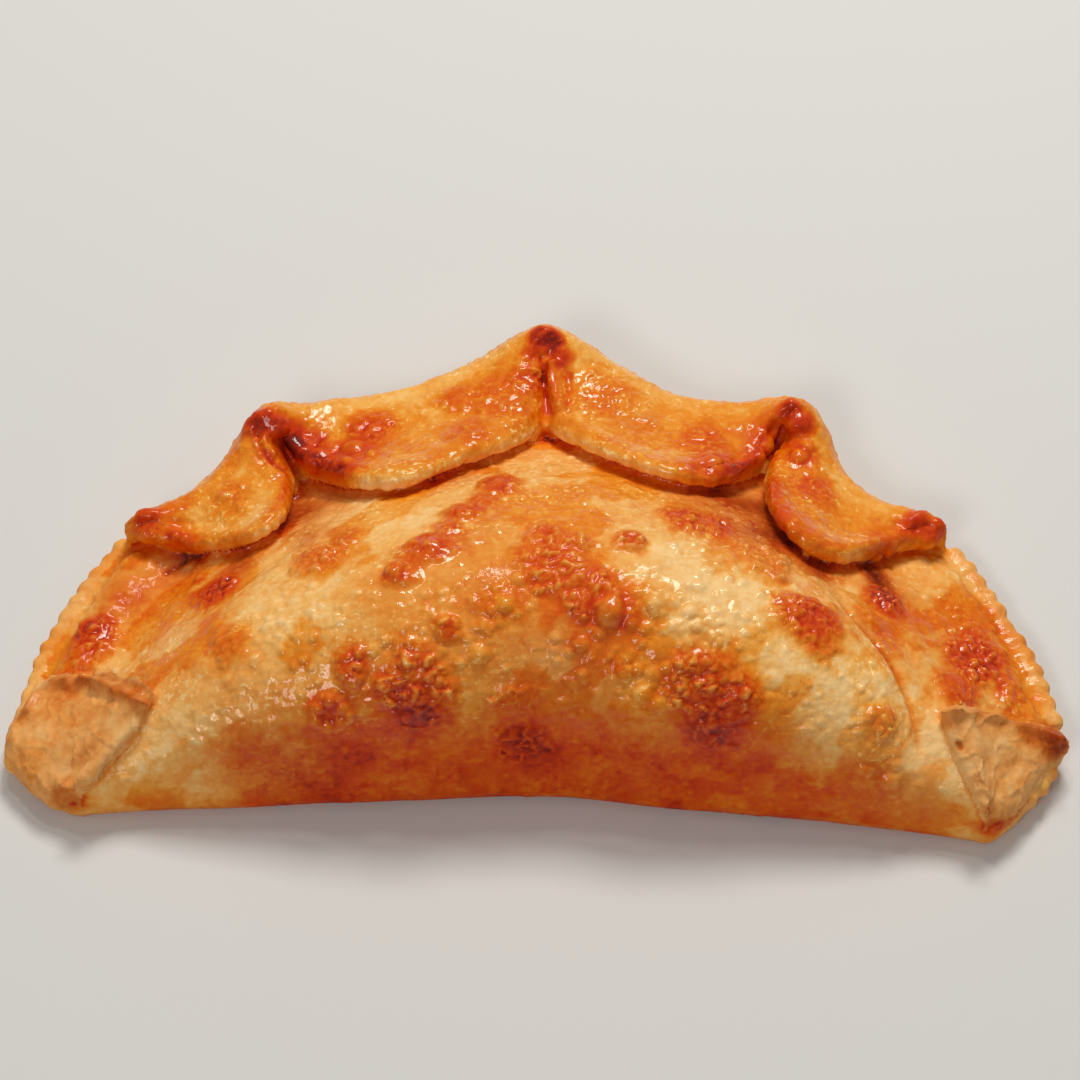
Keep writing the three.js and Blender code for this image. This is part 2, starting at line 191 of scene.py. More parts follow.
def wrinkle_lines(place: np.ndarray, size: float, seed: int, fineness: float = 0.22) -> np.ndarray:
    """A net of thin wandering ridges of height 1, about size apart."""
    bent = place + 0.35 * size * np.stack([value_noise(place, 0.8 * size, seed + k) for k in (1, 2, 3)], -1)
    return np.clip(1.0 - np.abs(value_noise(bent, size, seed)) / fineness, 0.0, 1.0) ** 1.5


def cell_noise(place: np.ndarray, size: float, seed: int) -> tuple[np.ndarray, np.ndarray, np.ndarray]:
    """Distances to the nearest and second nearest of scattered points.

    Args:
        place: Positions, one row each.
        size: The spacing of the scattered points.
        seed: Picks the scatter.

    Returns:
        The two distances, in units of size, and a random number that is the same all over one cell.
    """
    p = place / size
    base = np.floor(p)
    near = np.full(len(p), 9.0)
    second = np.full(len(p), 9.0)
    ident = np.zeros(len(p))
    for dx in (-1, 0, 1):
        for dy in (-1, 0, 1):
            for dz in (-1, 0, 1):
                cell = base + (dx, dy, dz)
                jitter = np.stack([lattice_hash(cell, seed + k) for k in range(3)], axis=-1)
                away = np.linalg.norm(cell + jitter - p, axis=1)
                closer = away < near
                second = np.where(closer, near, np.minimum(second, away))
                ident = np.where(closer, lattice_hash(cell, seed + 7), ident)
                near = np.where(closer, away, near)
    return near, second, ident


# ---------------------------------------------------------------- the folded dough, as smooth closed shells


class Part(Enum):
    """Which piece of the folded dough a point of the crust belongs to."""

    BODY = 0
    RIM = 1
    CORNER = 2
    LIP = 3
    KNOB = 4


@dataclass
class Shell:
    """A closed shell made of rings: one row of points after the other, each row closed on itself."""

    part: Part
    rings: np.ndarray

    def triangles(self) -> tuple[np.ndarray, np.ndarray]:
        """The shell's points and its triangles, facing out, with both end rings filled in."""
        count, n = self.rings.shape[:2]
        points = self.rings.reshape(-1, 3)
        ends = np.stack([self.rings[0].mean(0), self.rings[-1].mean(0)])
        points = np.concatenate([points, ends])
        i, j = np.meshgrid(np.arange(count - 1), np.arange(n), indexing="ij")
        k = (j + 1) % n
        a, b, c, d = i * n + j, i * n + k, (i + 1) * n + k, (i + 1) * n + j
        quads = [np.stack([a, b, c], -1).reshape(-1, 3), np.stack([a, c, d], -1).reshape(-1, 3)]
        j = np.arange(n)
        k = (j + 1) % n
        first = np.stack([k, j, np.full(n, count * n)], -1)
        final = np.stack([j + (count - 1) * n, k + (count - 1) * n, np.full(n, count * n + 1)], -1)
        faces = np.concatenate(quads + [first, final])
        corner = points[faces]
        volume = np.einsum("ij,ij->i", corner[:, 0], np.cross(corner[:, 1], corner[:, 2])).sum()
        return points, (faces if volume > 0 else faces[:, ::-1])

    def marks(self) -> np.ndarray:
        """For each point, its part, its place along the rings and its place round its ring."""
        count, n = self.rings.shape[:2]
        along = np.repeat(np.linspace(0.0, 1.0, count), n)
        around = np.tile(np.linspace(0.0, 1.0, n, endpoint=False), count)
        body = np.stack([np.full(count * n, float(self.part.value)), along, around], -1)
        ends = np.array([[self.part.value, 0.0, 0.5], [self.part.value, 1.0, 0.5]])
        return np.concatenate([body, ends])


@dataclass
class Valley:
    """A soft valley where the filling ends and the two sheets are sealed."""

    points: Plan
    depth: float
    width: float

    def dip(self, x: np.ndarray, y: np.ndarray) -> np.ndarray:
        """How far the valley lowers the top at each place.

        Args:
            x: The places' x.
            y: The places' y.

        Returns:
            The depth there, never negative.
        """
        best = np.full(np.shape(x), np.inf)
        for (ax, ay), (bx, by) in zip(self.points, self.points[1:]):
            dx, dy = bx - ax, by - ay
            along = np.clip(((x - ax) * dx + (y - ay) * dy) / (dx * dx + dy * dy), 0.0, 1.0)
            best = np.minimum(best, np.hypot(x - ax - along * dx, y - ay - along * dy))
        return self.depth * bell(best / self.width)


@dataclass
class FilledBody:
    """The filled half-moon: a steep rounded front, a crown, and a longer fall to the back."""

    height: float = 34.0
    half_length: float = 83.0
    depth: float = 80.0
    reach: float = 87.0
    arch_fullness: float = 1.8
    length_fullness: float = 2.2
    length_taper: float = 0.8
    crown_at: float = 0.32
    front_fullness: float = 2.2
    back_fall: float = 0.95
    back_fullness: float = 1.35
    slab: float = 8.5
    slab_blend: float = 7.0
    waist: float = 3.2
    under_round: float = 3.6
    edge_round: float = 6.5
    columns: int = 380
    top_rows: int = 190
    under_rows: int = 40
    front: np.ndarray = field(
        default_factory=lambda: np.array(
            [(-79, -4.8), (-55, -4), (-20, -2.6), (0, -1.9), (21, -4.3), (48, -6.9), (73.4, -10.4)], float
        )
    )
    back: np.ndarray = field(
        default_factory=lambda: np.array(
            [
                (-79, -4.8), (-85.4, -1), (-88.4, 6.4), (-86.8, 17), (-83.6, 27), (-79, 37), (-74, 46),
                (-66, 51), (-56, 60), (-45, 69), (-30, 73), (-14, 78.5), (0, 83), (14, 77.5), (30, 71),
                (44, 68), (53, 56.5), (61, 50), (70, 45), (74.8, 36.5), (79, 27), (82, 17), (84.2, 7),
                (80.4, -4), (73.4, -10.4),
            ],
            float,
        )
    )
    valleys: tuple[Valley, ...] = (
        Valley(((46, 35), (54, 24), (60.5, 12), (61, 1)), 1.9, 4.4),
        Valley(((-64, 38), (-70, 28), (-72, 20)), 1.4, 4.4),
    )

    def top(self, x: np.ndarray, y: np.ndarray) -> np.ndarray:
        """Height of the body's top over places of the plan, before its edge is rounded off.

        Args:
            x: The places' x.
            y: The places' y.

        Returns:
            The height at each place.
        """
        across = np.minimum(np.abs(x) / self.half_length, 1.0)
        crown = self.height * (1.0 - across**self.length_fullness) ** self.length_taper
        front = np.interp(x, self.front[:, 0], self.front[:, 1])
        arch_x = np.minimum(np.abs(x) / self.reach, 1.0)
        arch = self.depth * (1.0 - arch_x**self.arch_fullness) ** (1.0 / self.arch_fullness)
        deep = np.maximum((y - front) / np.maximum(arch - front, 1.0), 0.0)
        rise = 1.0 - np.clip(1.0 - deep / self.crown_at, 0.0, 1.0) ** self.front_fullness
        fall = np.clip((deep - self.crown_at) / (1.0 - self.crown_at), 0.0, 1.0)
        share = np.where(
            deep < self.crown_at,
            rise ** (1.0 / self.front_fullness),
            1.0 - self.back_fall * fall**self.back_fullness,
        )
        filled = crown * share
        blend = np.maximum(self.slab_blend - np.abs(self.slab - filled), 0.0) / self.slab_blend
        z = np.maximum(self.slab, filled) + blend * blend * self.slab_blend / 4.0
        return z - sum(valley.dip(x, y) for valley in self.valleys)

    def shell(self) -> Shell:
        """The body as rings that run over the top from front to back and return underneath."""
        at = np.arange(1, self.columns) / self.columns
        a, b = even_curve(self.front, at), even_curve(self.back, at)
        length = np.linalg.norm(b - a, axis=1)[:, None]

        def spread(steps: int, rows: np.ndarray) -> tuple[np.ndarray, np.ndarray, np.ndarray]:
            """Plan places of some rows and their distance from the nearer edge.

            Args:
                steps: How many rows make the whole way.
                rows: The rows' numbers.

            Returns:
                Their x, their y and the distance.
            """
            share = (1.0 - np.cos(np.pi * rows / steps))[None, :] / 2.0
            x = a[:, :1] + (b - a)[:, :1] * share
            y = a[:, 1:] + (b - a)[:, 1:] * share
            return x, y, length * np.minimum(share, 1.0 - share)

        x, y, inside = spread(self.top_rows, np.arange(self.top_rows + 1))
        z = self.waist + (self.top(x, y) - self.waist) * quarter_round(inside / self.edge_round)
        over = np.stack([x, y, z], -1)
        x, y, inside = spread(self.under_rows, np.arange(self.under_rows - 1, 0, -1))
        under = np.stack([x, y, self.waist * (1.0 - quarter_round(inside / self.under_round))], -1)
        return Shell(Part.BODY, np.concatenate([over, under], axis=1))


@dataclass
class FoldProfile:
    """The section of folded dough: a round back, a face that sags and rolls up, and a round free edge."""

    thickness: float
    trough: float
    roll: float
    ridge_round: float = 6.5
    roll_at: float = 0.85
    roll_width: float = 0.15
    under_level: float = 1.2
    round_steps: int = 16
    face_steps: int = 40

    def rings(
        self,
        outer: np.ndarray,
        inner: np.ndarray,
        ridge: np.ndarray,
        edge_top: np.ndarray,
        end: np.ndarray,
    ) -> np.ndarray:
        """Sections from outer points to inner points.

        Args:
            outer: Plan places of the outer fold, one row a station.
            inner: Plan places of the free edge.
            ridge: Height of the fold at each station.
            edge_top: Height of the top at the free edge.
            end: From 0 to 1, how far a station is closed towards its middle, 1 being open.

        Returns:
            An array of stations by profile points by coordinates.
        """
        span = inner - outer
        length = np.linalg.norm(span, axis=1)[:, None]
        ridge, edge_top, end = ridge[:, None], edge_top[:, None], end[:, None]
        fold = np.minimum(self.ridge_round, 0.45 * length)
        nose = np.minimum(self.thickness / 2.0, 0.3 * length)
        runs, rises = [], []
        k = np.arange(self.round_steps + 1)[None, :]
        angle = -np.pi / 2 + np.pi * (k + 1.0) / (self.round_steps + 1.0)
        runs.append(fold * (1.0 - np.cos(angle)))
        rises.append(ridge / 2.0 * (1.0 + np.sin(angle)))
        share = np.arange(1, self.face_steps + 1)[None, :] / self.face_steps
        runs.append(fold + (length - nose - fold) * share)
        sag = self.trough * np.sin(np.pi * share) ** 2
        roll = self.roll * bell((share - self.roll_at) / self.roll_width)
        rises.append(ridge + (edge_top - ridge) * share - sag + roll)
        k = np.arange(1, self.round_steps + 1)[None, :]
        angle = np.pi * k / self.round_steps
        ending = self.roll * bell((1.0 - self.roll_at) / self.roll_width)
        runs.append(length - nose + nose * np.sin(angle))
        rises.append(edge_top - nose + nose * np.cos(angle) + ending * (1.0 + np.cos(angle)) / 2.0)
        runs.append(length - nose - np.minimum(nose, 0.3 * length))
        rises.append(np.full_like(length, self.under_level))
        run, rise = np.concatenate(runs, 1), np.concatenate(rises, 1)
        run = length / 2.0 + (run - length / 2.0) * end
        rise = ridge / 2.0 + (rise - ridge / 2.0) * end
        unit = span / length
        return np.stack([outer[:, :1] + unit[:, :1] * run, outer[:, 1:] + unit[:, 1:] * run, rise], -1)


@dataclass
class FoldedRim:
    """The rim folded over the body in four lobes that meet at pinched tips."""

    body: FilledBody
    profile: FoldProfile = field(
        default_factory=lambda: FoldProfile(3.6, 1.0, 0.35, ridge_round=5.2, roll_at=0.9, roll_width=0.08)
    )
    ridge_height: float = 16.0
    ridge_fall: float = 2.0
    tip_rise: float = 5.0
    tip_width: float = 0.2
    seam_depth: float = 3.6
    seam_width: float = 0.05
    middle_seam: float = 0.45
    edge_lift: float = 4.0
    end_round: float = 5.0
    end_size: float = 0.35
    stations: int = 150
    knob_size: tuple[float, float, float] = (2.8, 2.5, 2.1)
    outer: Plan = (
        (-74.6, 47.6), (-70.6, 51.6), (-64.2, 55.2), (-61, 58.6), (-58.2, 62.4), (-55.2, 67.4),
        (-50.8, 71.2), (-45, 73.2), (-35, 76), (-25, 78.2), (-15, 82.8), (-7.2, 87.2),
        (0.2, 89), (7.8, 86.6), (15.2, 81.6), (24, 76.5), (33, 74.8), (41, 74.4),
        (46.8, 72), (50.6, 67.4), (52.8, 61), (56.3, 56.2), (60.6, 53.4), (65.4, 51.4), (70.8, 47),
    )
    edges: tuple[Plan, ...] = (
        (
            (-72.4, 45.4), (-66.6, 43.8), (-57.5, 40.8), (-51.4, 39.2),
            (-46.7, 41.2), (-44.4, 47.6), (-44.1, 59.3),
        ),
        ((-44.1, 59.3), (-40.4, 56), (-32.8, 49.6), (-24.5, 47.4), (-16, 52.4), (-6.6, 58.2), (-0.3, 66.1)),
        ((-0.3, 66.1), (3, 61.2), (9.9, 54.7), (17.6, 50.1), (25.3, 48.6), (33.6, 53.6), (39.3, 62.4)),
        ((39.3, 62.4), (37.4, 52.6), (38.3, 42.6), (42.6, 36), (50.5, 35.2), (59.8, 41.4), (68.4, 44.8)),
    )
    knobs: tuple[tuple[float, float, float], ...] = (
        (-69, 46.4, 11), (-48.8, 64.8, 17.2), (0.1, 82.2, 17.6), (44.4, 65.6, 17.2), (65.6, 45.4, 11),
    )

    def free_edge(self, at: np.ndarray) -> np.ndarray:
        """Plan places of the free edge, each lobe a smooth curve with a sharp turn between lobes.

        Args:
            at: Shares of the rim's length, from 0 at the left tip to 1 at the right one.

        Returns:
            One row for each share.
        """
        lobes = len(self.edges)
        lobe = np.minimum((at * lobes).astype(int), lobes - 1)
        out = np.zeros((len(at), 2))
        for k, points in enumerate(self.edges):
            mine = lobe == k
            out[mine] = catmull_rom(points, at[mine] * lobes - k)
        return out

    def shell(self) -> Shell:
        """The whole rim as one shell, from the left tip to the right one."""
        lobes = len(self.edges)
        at = np.linspace(0.0, 1.0, self.stations * lobes + 1)
        outer, edge = catmull_rom(self.outer, at), self.free_edge(at)
        tip = np.round(at * lobes)
        from_tip = at * lobes - tip
        seam = (tip > 0) & (tip < lobes)
        ridge = self.ridge_height - self.ridge_fall * np.abs(2.0 * at - 1.0)
        ridge = ridge + seam * self.tip_rise * bell(from_tip / self.tip_width)
        depth = self.seam_depth * np.where(tip == lobes // 2, self.middle_seam, 1.0)
        dip = seam * depth * bell(from_tip / self.seam_width)
        edge_top = self.body.top(edge[:, 0], edge[:, 1]) + self.edge_lift - dip
        length = np.linalg.norm(np.diff(outer, axis=0), axis=1).sum()
        closing = quarter_round(length * np.minimum(at, 1.0 - at) / self.end_round)
        end = self.end_size + (1.0 - self.end_size) * closing
        return Shell(Part.RIM, self.profile.rings(outer, edge, ridge, edge_top, end))

    def knob_shells(self) -> list[Shell]:
        """The baked knobs on the tips, as rounded lumps."""
        tall = np.linspace(0.02, 0.98, 24) * np.pi
        round_ = np.linspace(0.0, 2.0 * np.pi, 36, endpoint=False)
        ball = np.stack(
            [
                np.sin(tall)[:, None] * np.cos(round_)[None, :],
                np.sin(tall)[:, None] * np.sin(round_)[None, :],
                np.cos(tall)[:, None] * np.ones(len(round_))[None, :],
            ],
            -1,
        )
        return [Shell(Part.KNOB, ball * self.knob_size + place) for place in self.knobs]


@dataclass
class CornerFlap:
    """A corner folded in over the body, with a ragged cut edge at its upper end."""

    body: FilledBody
    outer: Plan
    inner: Plan
    seed: int
    profile: FoldProfile = field(default_factory=lambda: FoldProfile(4.4, 0.4, 0.5))
    ridge_height: float = 9.5
    ridge_fall: float = 3.0
    lift: float = 3.3
    sink: float = 0.04
    ragged: float = 1.3
    bulge: float = 0.0
    cover: float = 1.6
    stations: int = 70

    def sides(self, at: np.ndarray) -> tuple[np.ndarray, np.ndarray]:
        """Plan places of the outer and the inner side, from the front corner to the ragged edge."""
        return catmull_rom(self.outer, at), catmull_rom(self.inner, at)

    def shell(self) -> Shell:
        """The flap as rings from the front corner to the ragged edge."""
        at = np.linspace(0.0, 1.0, self.stations)
        outer, inner = self.sides(at)
        ridge = self.ridge_height - self.ridge_fall * (1.0 - at) ** 2
        edge_top = self.body.top(inner[:, 0], inner[:, 1]) * (1.0 - self.sink) + self.lift
        rings = self.profile.rings(outer, inner, ridge, edge_top, np.ones_like(at))
        along = inner[-1] - inner[-4]
        along = along / np.linalg.norm(along)
        place = rings[-1] * (1.0, 1.0, 0.25)
        torn = 0.7 * value_noise(place, 3.1, self.seed) + 0.5 * value_noise(place, 1.3, self.seed + 1)
        share = smooth_step(0.86, 1.0, at)[:, None]
        rings[..., :2] += (self.ragged * torn)[None, :, None] * share[..., None] * along
        across = np.linalg.norm(rings[-1, :, :2] - outer[-1], axis=1) / np.linalg.norm(inner[-1] - outer[-1])
        bulged = np.sin(np.pi * np.clip(across, 0.0, 1.0))[None, :] * smooth_step(0.3, 1.0, at)[:, None]
        rings[..., :2] += self.bulge * bulged[..., None] * along
        on_body = self.body.top(rings[..., 0], rings[..., 1]) + self.cover
        raised = np.maximum(on_body - rings[..., 2], 0.0)
        raised *= smooth_step(0.4, 0.8, at)[:, None] * smooth_step(0.1, 0.4, across)[None, :]
        step = np.arange(rings.shape[1]) - self.profile.round_steps
        top = (step >= 0) & (step <= self.profile.face_steps)
        rings[..., 2] += raised * top[None, :]
        return Shell(Part.CORNER, rings)

    def covers(self, place: np.ndarray) -> np.ndarray:
        """True where a place of the plan lies inside the flap's outline.

        Args:
            place: Points, one row each; only x and y count.

        Returns:
            One truth value for each point.
        """
        outer, inner = self.sides(np.linspace(0.0, 1.0, 24))
        outline = np.concatenate([outer, inner[::-1]])
        inside = np.zeros(len(place), bool)
        x, y = place[:, 0], place[:, 1]
        for (ax, ay), (bx, by) in zip(outline, np.roll(outline, -1, axis=0)):
            if ay != by:
                inside ^= ((ay > y) != (by > y)) & (x < (bx - ax) * (y - ay) / (by - ay) + ax)
        return inside


@dataclass
class FlutedLip:
    """The thin cut edge of the dough that shows beyond the body, fluted by the cutter."""

    points: Plan
    side: float
    seed: int
    thickness: float = 4.2
    level: float = 3.9
    flute: float = 0.8
    reach: float = 6.0
    pitch: float = 3.5
    steps_a_flute: int = 12

    def shell(self) -> Shell:
        """The lip as rings along its edge."""
        dense = catmull_rom(self.points, np.linspace(0.0, 1.0, 400))
        length = np.linalg.norm(np.diff(dense, axis=0), axis=1).sum()
        flutes = round(length / self.pitch)
        at = np.linspace(0.0, 1.0, flutes * self.steps_a_flute + 1)
        p = even_curve(self.points, at)
        along = np.gradient(p, axis=0)
        along = along / np.linalg.norm(along, axis=1)[:, None]
        inward = np.stack([-along[:, 1], along[:, 0]], -1) * self.side
        which = np.stack([np.floor(at * flutes), np.zeros_like(at), np.zeros_like(at)], -1)
        uneven = lattice_hash(which, self.seed)
        back = self.flute * (1.0 - np.abs(np.sin(np.pi * flutes * at)) * (0.45 + 0.7 * uneven))
        half = self.thickness / 2.0 - back * 0.3
        ones = np.ones_like(back)
        turn = np.linspace(np.pi / 2, -np.pi / 2, 13)
        runs = [self.reach * ones] + [back + 1.6 * (1.0 - math.cos(a)) for a in turn] + [self.reach * ones]
        rises = [half * 0.9] + [half * math.sin(a) for a in turn] + [-half * 0.9]
        run, rise = np.stack(runs, 1), np.stack(rises, 1)
        x = p[:, :1] + inward[:, :1] * run
        y = p[:, 1:] + inward[:, 1:] * run
        return Shell(Part.LIP, np.stack([x, y, self.level + rise], -1))


# ---------------------------------------------------------------- the camera that places the features


@dataclass(frozen=True)
class StudioCamera:
    """A long lens that looks down on the straight fold, with the middle of its picture on aim."""

    elevation: float = 55.0
    lens: float = 100.0
    sensor: float = 36.0
    distance: float = 540.0
    aim: tuple[float, float, float] = (-1.347, 55.209, -4.0)

    def axes(self) -> tuple[np.ndarray, np.ndarray, np.ndarray]:
        """The directions to the right, up and forward in the picture."""
        angle = math.radians(self.elevation)
        forward = np.array([0.0, math.cos(angle), -math.sin(angle)])
        up = np.array([0.0, math.sin(angle), math.cos(angle)])
        return np.array([1.0, 0.0, 0.0]), up, forward

    def origin(self) -> np.ndarray:
        """Where the lens is, in the frame."""
        return np.array(self.aim) - PLAN_MIDDLE - self.distance * self.axes()[2]

    def ray(self, pixel: Pixel) -> np.ndarray:
        """The direction in which a pixel of the picture looks.

        Args:
            pixel: Pixels to the right and down from the upper left corner.

        Returns:
            A unit vector in the frame.
        """
        right, up, forward = self.axes()
        scale = self.sensor / self.lens / IMAGE_SIDE
        half = IMAGE_SIDE / 2.0
        away = forward + (pixel[0] - half) * scale * right + (half - pixel[1]) * scale * up
        return away / np.linalg.norm(away)

    def build(self) -> bpy.types.Object:
        """Makes the camera and lets the scene use it."""
        data = bpy.data.cameras.new("studio_camera")
        data.lens = self.lens
        data.sensor_fit = "HORIZONTAL"
        data.sensor_width = self.sensor
        data.clip_start = 0.01
        camera = bpy.data.objects.new("studio_camera", data)
        camera.location = Vector(self.origin() * MM)
        camera.rotation_euler = (math.radians(90.0 - self.elevation), 0.0, 0.0)
        bpy.context.scene.collection.objects.link(camera)
        bpy.context.scene.camera = camera
        return camera


# ---------------------------------------------------------------- features of the crust


class Relief(Enum):
    """How the skin stands up inside a browned spot."""

    BLISTERED = "blistered"
    CRUMBLY = "crumbly"
    RING = "ring"
    WRINKLED = "wrinkled"
    LUMPY = "lumpy"
    FLAKY = "flaky"
    DOME = "dome"
    SMOOTH = "smooth"


@dataclass(frozen=True)
class BrownSpot:
    """A browned patch round a pixel: its radius in mm, the tone it bakes to, its relief and its swell."""

    pixel: Pixel
    radius: float
    tone: float
    relief: Relief
    swell: float


@dataclass(frozen=True)
class Bubbling:
    """A group of small pale bubbles round a pixel: the group's radius, the count and the largest radius."""

    pixel: Pixel
    radius: float
    count: int
    largest: float


@dataclass(frozen=True)
class Wash:
    """A wide soft area, radius in mm, that bakes darker or stays paler; under the lobes it holds painted
    shade; bare is how far it lacks egg wash.
    """

    pixel: Pixel
    radius: float
    tone: float
    bare: float = 0.0


@dataclass(frozen=True)
class SurfaceLine:
    """A crease (negative lift) or a roll (positive lift) along pixels of the picture; sizes in mm.

    fade is the share of the line over which an end dies away, and ragged is from 0, even, to 1, torn.
    """

    pixels: tuple[Pixel, ...]
    lift: float
    width: float
    tone: float = 0.0
    tone_width: float = 1.0
    fade: float = 0.15
    ragged: float = 0.0


def spots(relief: Relief, swell: float, *rows: tuple[float, ...]) -> tuple[BrownSpot, ...]:
    """Spots of one relief.

    Args:
        relief: The relief of all of them.
        swell: Their swell, where a row has no fifth number of its own.
        rows: The pixel's two numbers, the radius and the tone of each.

    Returns:
        One spot for each row.
    """
    return tuple(BrownSpot(row[:2], row[2], row[3], relief, *(row[4:] or (swell,))) for row in rows)


def bubblings(*rows: tuple[float, ...]) -> tuple[Bubbling, ...]:
    """Groups of bubbles from rows of the pixel's two numbers, radius, count and largest radius."""
    return tuple(Bubbling(row[:2], *row[2:]) for row in rows)


def lines(*rows: tuple[tuple[Pixel, ...] | float, ...]) -> tuple[SurfaceLine, ...]:
    """Creases and rolls from rows of pixels, lift, width and, where it has them, the further fields."""
    return tuple(SurfaceLine(*row) for row in rows)


def washes(*rows: tuple[float, ...]) -> tuple[Wash, ...]:
    """Washes from rows of the pixel's two numbers, radius, tone and, where it lacks egg wash, how far."""
    return tuple(Wash(row[:2], *row[2:]) for row in rows)


BUBBLINGS: tuple[Bubbling, ...] = bubblings(
    (655, 618, 5.0, 14, 1.8), (640, 695, 4.5, 9, 1.8), (690, 610, 6.0, 22, 1.3), (735, 640, 6.0, 16, 1.2),
    (500, 604, 5.5, 18, 1.7), (480, 655, 5.0, 8, 1.4), (440, 600, 4.0, 8, 1.5), (760, 565, 8.0, 30, 1.2),
    (690, 560, 7.0, 24, 1.2), (610, 520, 8.0, 30, 1.1), (545, 500, 7.0, 22, 1.0), (405, 655, 6.0, 18, 1.3),
    (700, 660, 6.0, 20, 1.5), (330, 540, 7.0, 26, 1.1), (300, 620, 8.0, 24, 1.2), (240, 640, 6.0, 18, 1.2),
    (960, 620, 7.0, 22, 1.2), (1000, 690, 5.0, 16, 1.5), (95, 660, 5.0, 14, 1.4), (850, 690, 8.0, 18, 1.2),
    (590, 640, 7.0, 12, 1.6), (460, 720, 7.0, 10, 1.3),
)

WASHES: tuple[Wash, ...] = washes(
    # soft pale dough
    (870, 745, 10, -0.10), (180, 768, 8, -0.18, 0.2), (300, 770, 7, -0.06, 0.3), (390, 595, 7, 0.10),
    (468, 590, 5, 0.06), (820, 730, 8, -0.08, 0.3), (770, 685, 5, -0.10), (660, 642, 5, -0.06),
    (590, 488, 11, -0.04), (640, 500, 8, -0.08), (330, 640, 10, -0.10), (385, 610, 8, 0.02),
    (262, 620, 9, -0.06), (235, 680, 8, -0.08), (215, 730, 9, -0.04, 0.3), (395, 510, 9, -0.10),
    (365, 500, 7, -0.06), (690, 575, 10, -0.14, 0.3), (735, 600, 9, -0.12), (668, 548, 6, -0.08),
    (770, 640, 8, -0.08), (845, 680, 11, -0.14), (880, 690, 8, -0.08), (850, 600, 5, -0.06),
    # (872, 574) on this line is painted shadow under the edge of the right lobe
    (872, 574, 3, 0.30), (800, 570, 7, -0.08, 0.3), (250, 535, 8, -0.12), (150, 610, 8, -0.06),
    (470, 640, 6, -0.06), (560, 660, 8, -0.04, 0.3), (620, 660, 9, -0.06), (925, 745, 8, -0.06, 0.3),
    (915, 790, 9, -0.06, 0.3), (120, 780, 8, -0.04),
    # egg wash that pooled and baked orange
    (470, 545, 8, 0.10), (440, 500, 7, 0.06), (560, 600, 12, 0.10), (500, 650, 9, 0.10),
    (350, 690, 9, 0.12), (430, 730, 12, 0.10), (520, 720, 11, 0.08), (610, 720, 12, 0.06),
    (710, 740, 12, 0.10), (700, 660, 8, 0.08), (790, 720, 10, 0.05), (860, 745, 8, 0.12),
    (880, 800, 9, 0.08), (290, 765, 12, 0.14), (160, 580, 6, 0.03), (128, 602, 5, 0.34),
    (205, 600, 7, 0.10), (215, 645, 7, 0.06), (985, 620, 10, 0.10), (930, 620, 8, 0.10),
    (890, 630, 7, 0.06), (960, 580, 7, -0.05), (720, 520, 9, 0.10), (770, 545, 7, 0.10),
    (665, 505, 7, 0.04), (240, 700, 8, 0.14), (240, 600, 6, 0.06), (470, 630, 6, 0.10), (590, 642, 7, 0.18),
    (885, 645, 6, 0.16),
    # painted shade under the lobes and in the dark gap at the foot of the middle seam, on dough that is also
    # soaked with juice
    (300, 505, 5, 0.18, 0.45), (305, 540, 5, 0.14, 0.45), (240, 560, 4, 0.14, 0.45),
    (758, 505, 5, 0.16, 0.45), (765, 535, 5, 0.14, 0.45), (820, 572, 4, 0.24, 0.45),
    (880, 584, 4, 0.16, 0.45), (330, 505, 6, 0.14, 0.45), (296, 520, 5, 0.16, 0.45),
    (470, 478, 4, 0.08, 0.45), (745, 500, 6, 0.22, 0.45), (715, 500, 5, 0.12, 0.45),
    (775, 530, 4, 0.16, 0.45), (880, 575, 3, 0.14, 0.45), (190, 556, 4, 0.14, 0.45),
    (762, 510, 4, 0.24, 0.3), (768, 536, 4, 0.14, 0.2), (300, 508, 4, 0.18, 0.3), (306, 535, 4, 0.12),
    (242, 562, 3.5, 0.22, 0.3), (880, 582, 3.5, 0.24, 0.2), (822, 574, 3.5, 0.16, 0.2),
    (184, 560, 4, 0.18, 0.2), (172, 584, 4, 0.12), (547, 437, 1.8, 0.40, 0.5),
    # the lobes
    (400, 440, 10, 0.05), (440, 470, 8, -0.02), (600, 385, 10, -0.02), (730, 455, 9, 0.05),
    (690, 470, 6, 0.08), (290, 455, 8, 0.14), (532, 385, 6, 0.18), (800, 440, 7, 0.12), (820, 500, 9, 0.02),
    (860, 530, 8, 0.02), (210, 510, 9, -0.05), (165, 525, 6, 0.12), (920, 535, 6, 0.12),
)

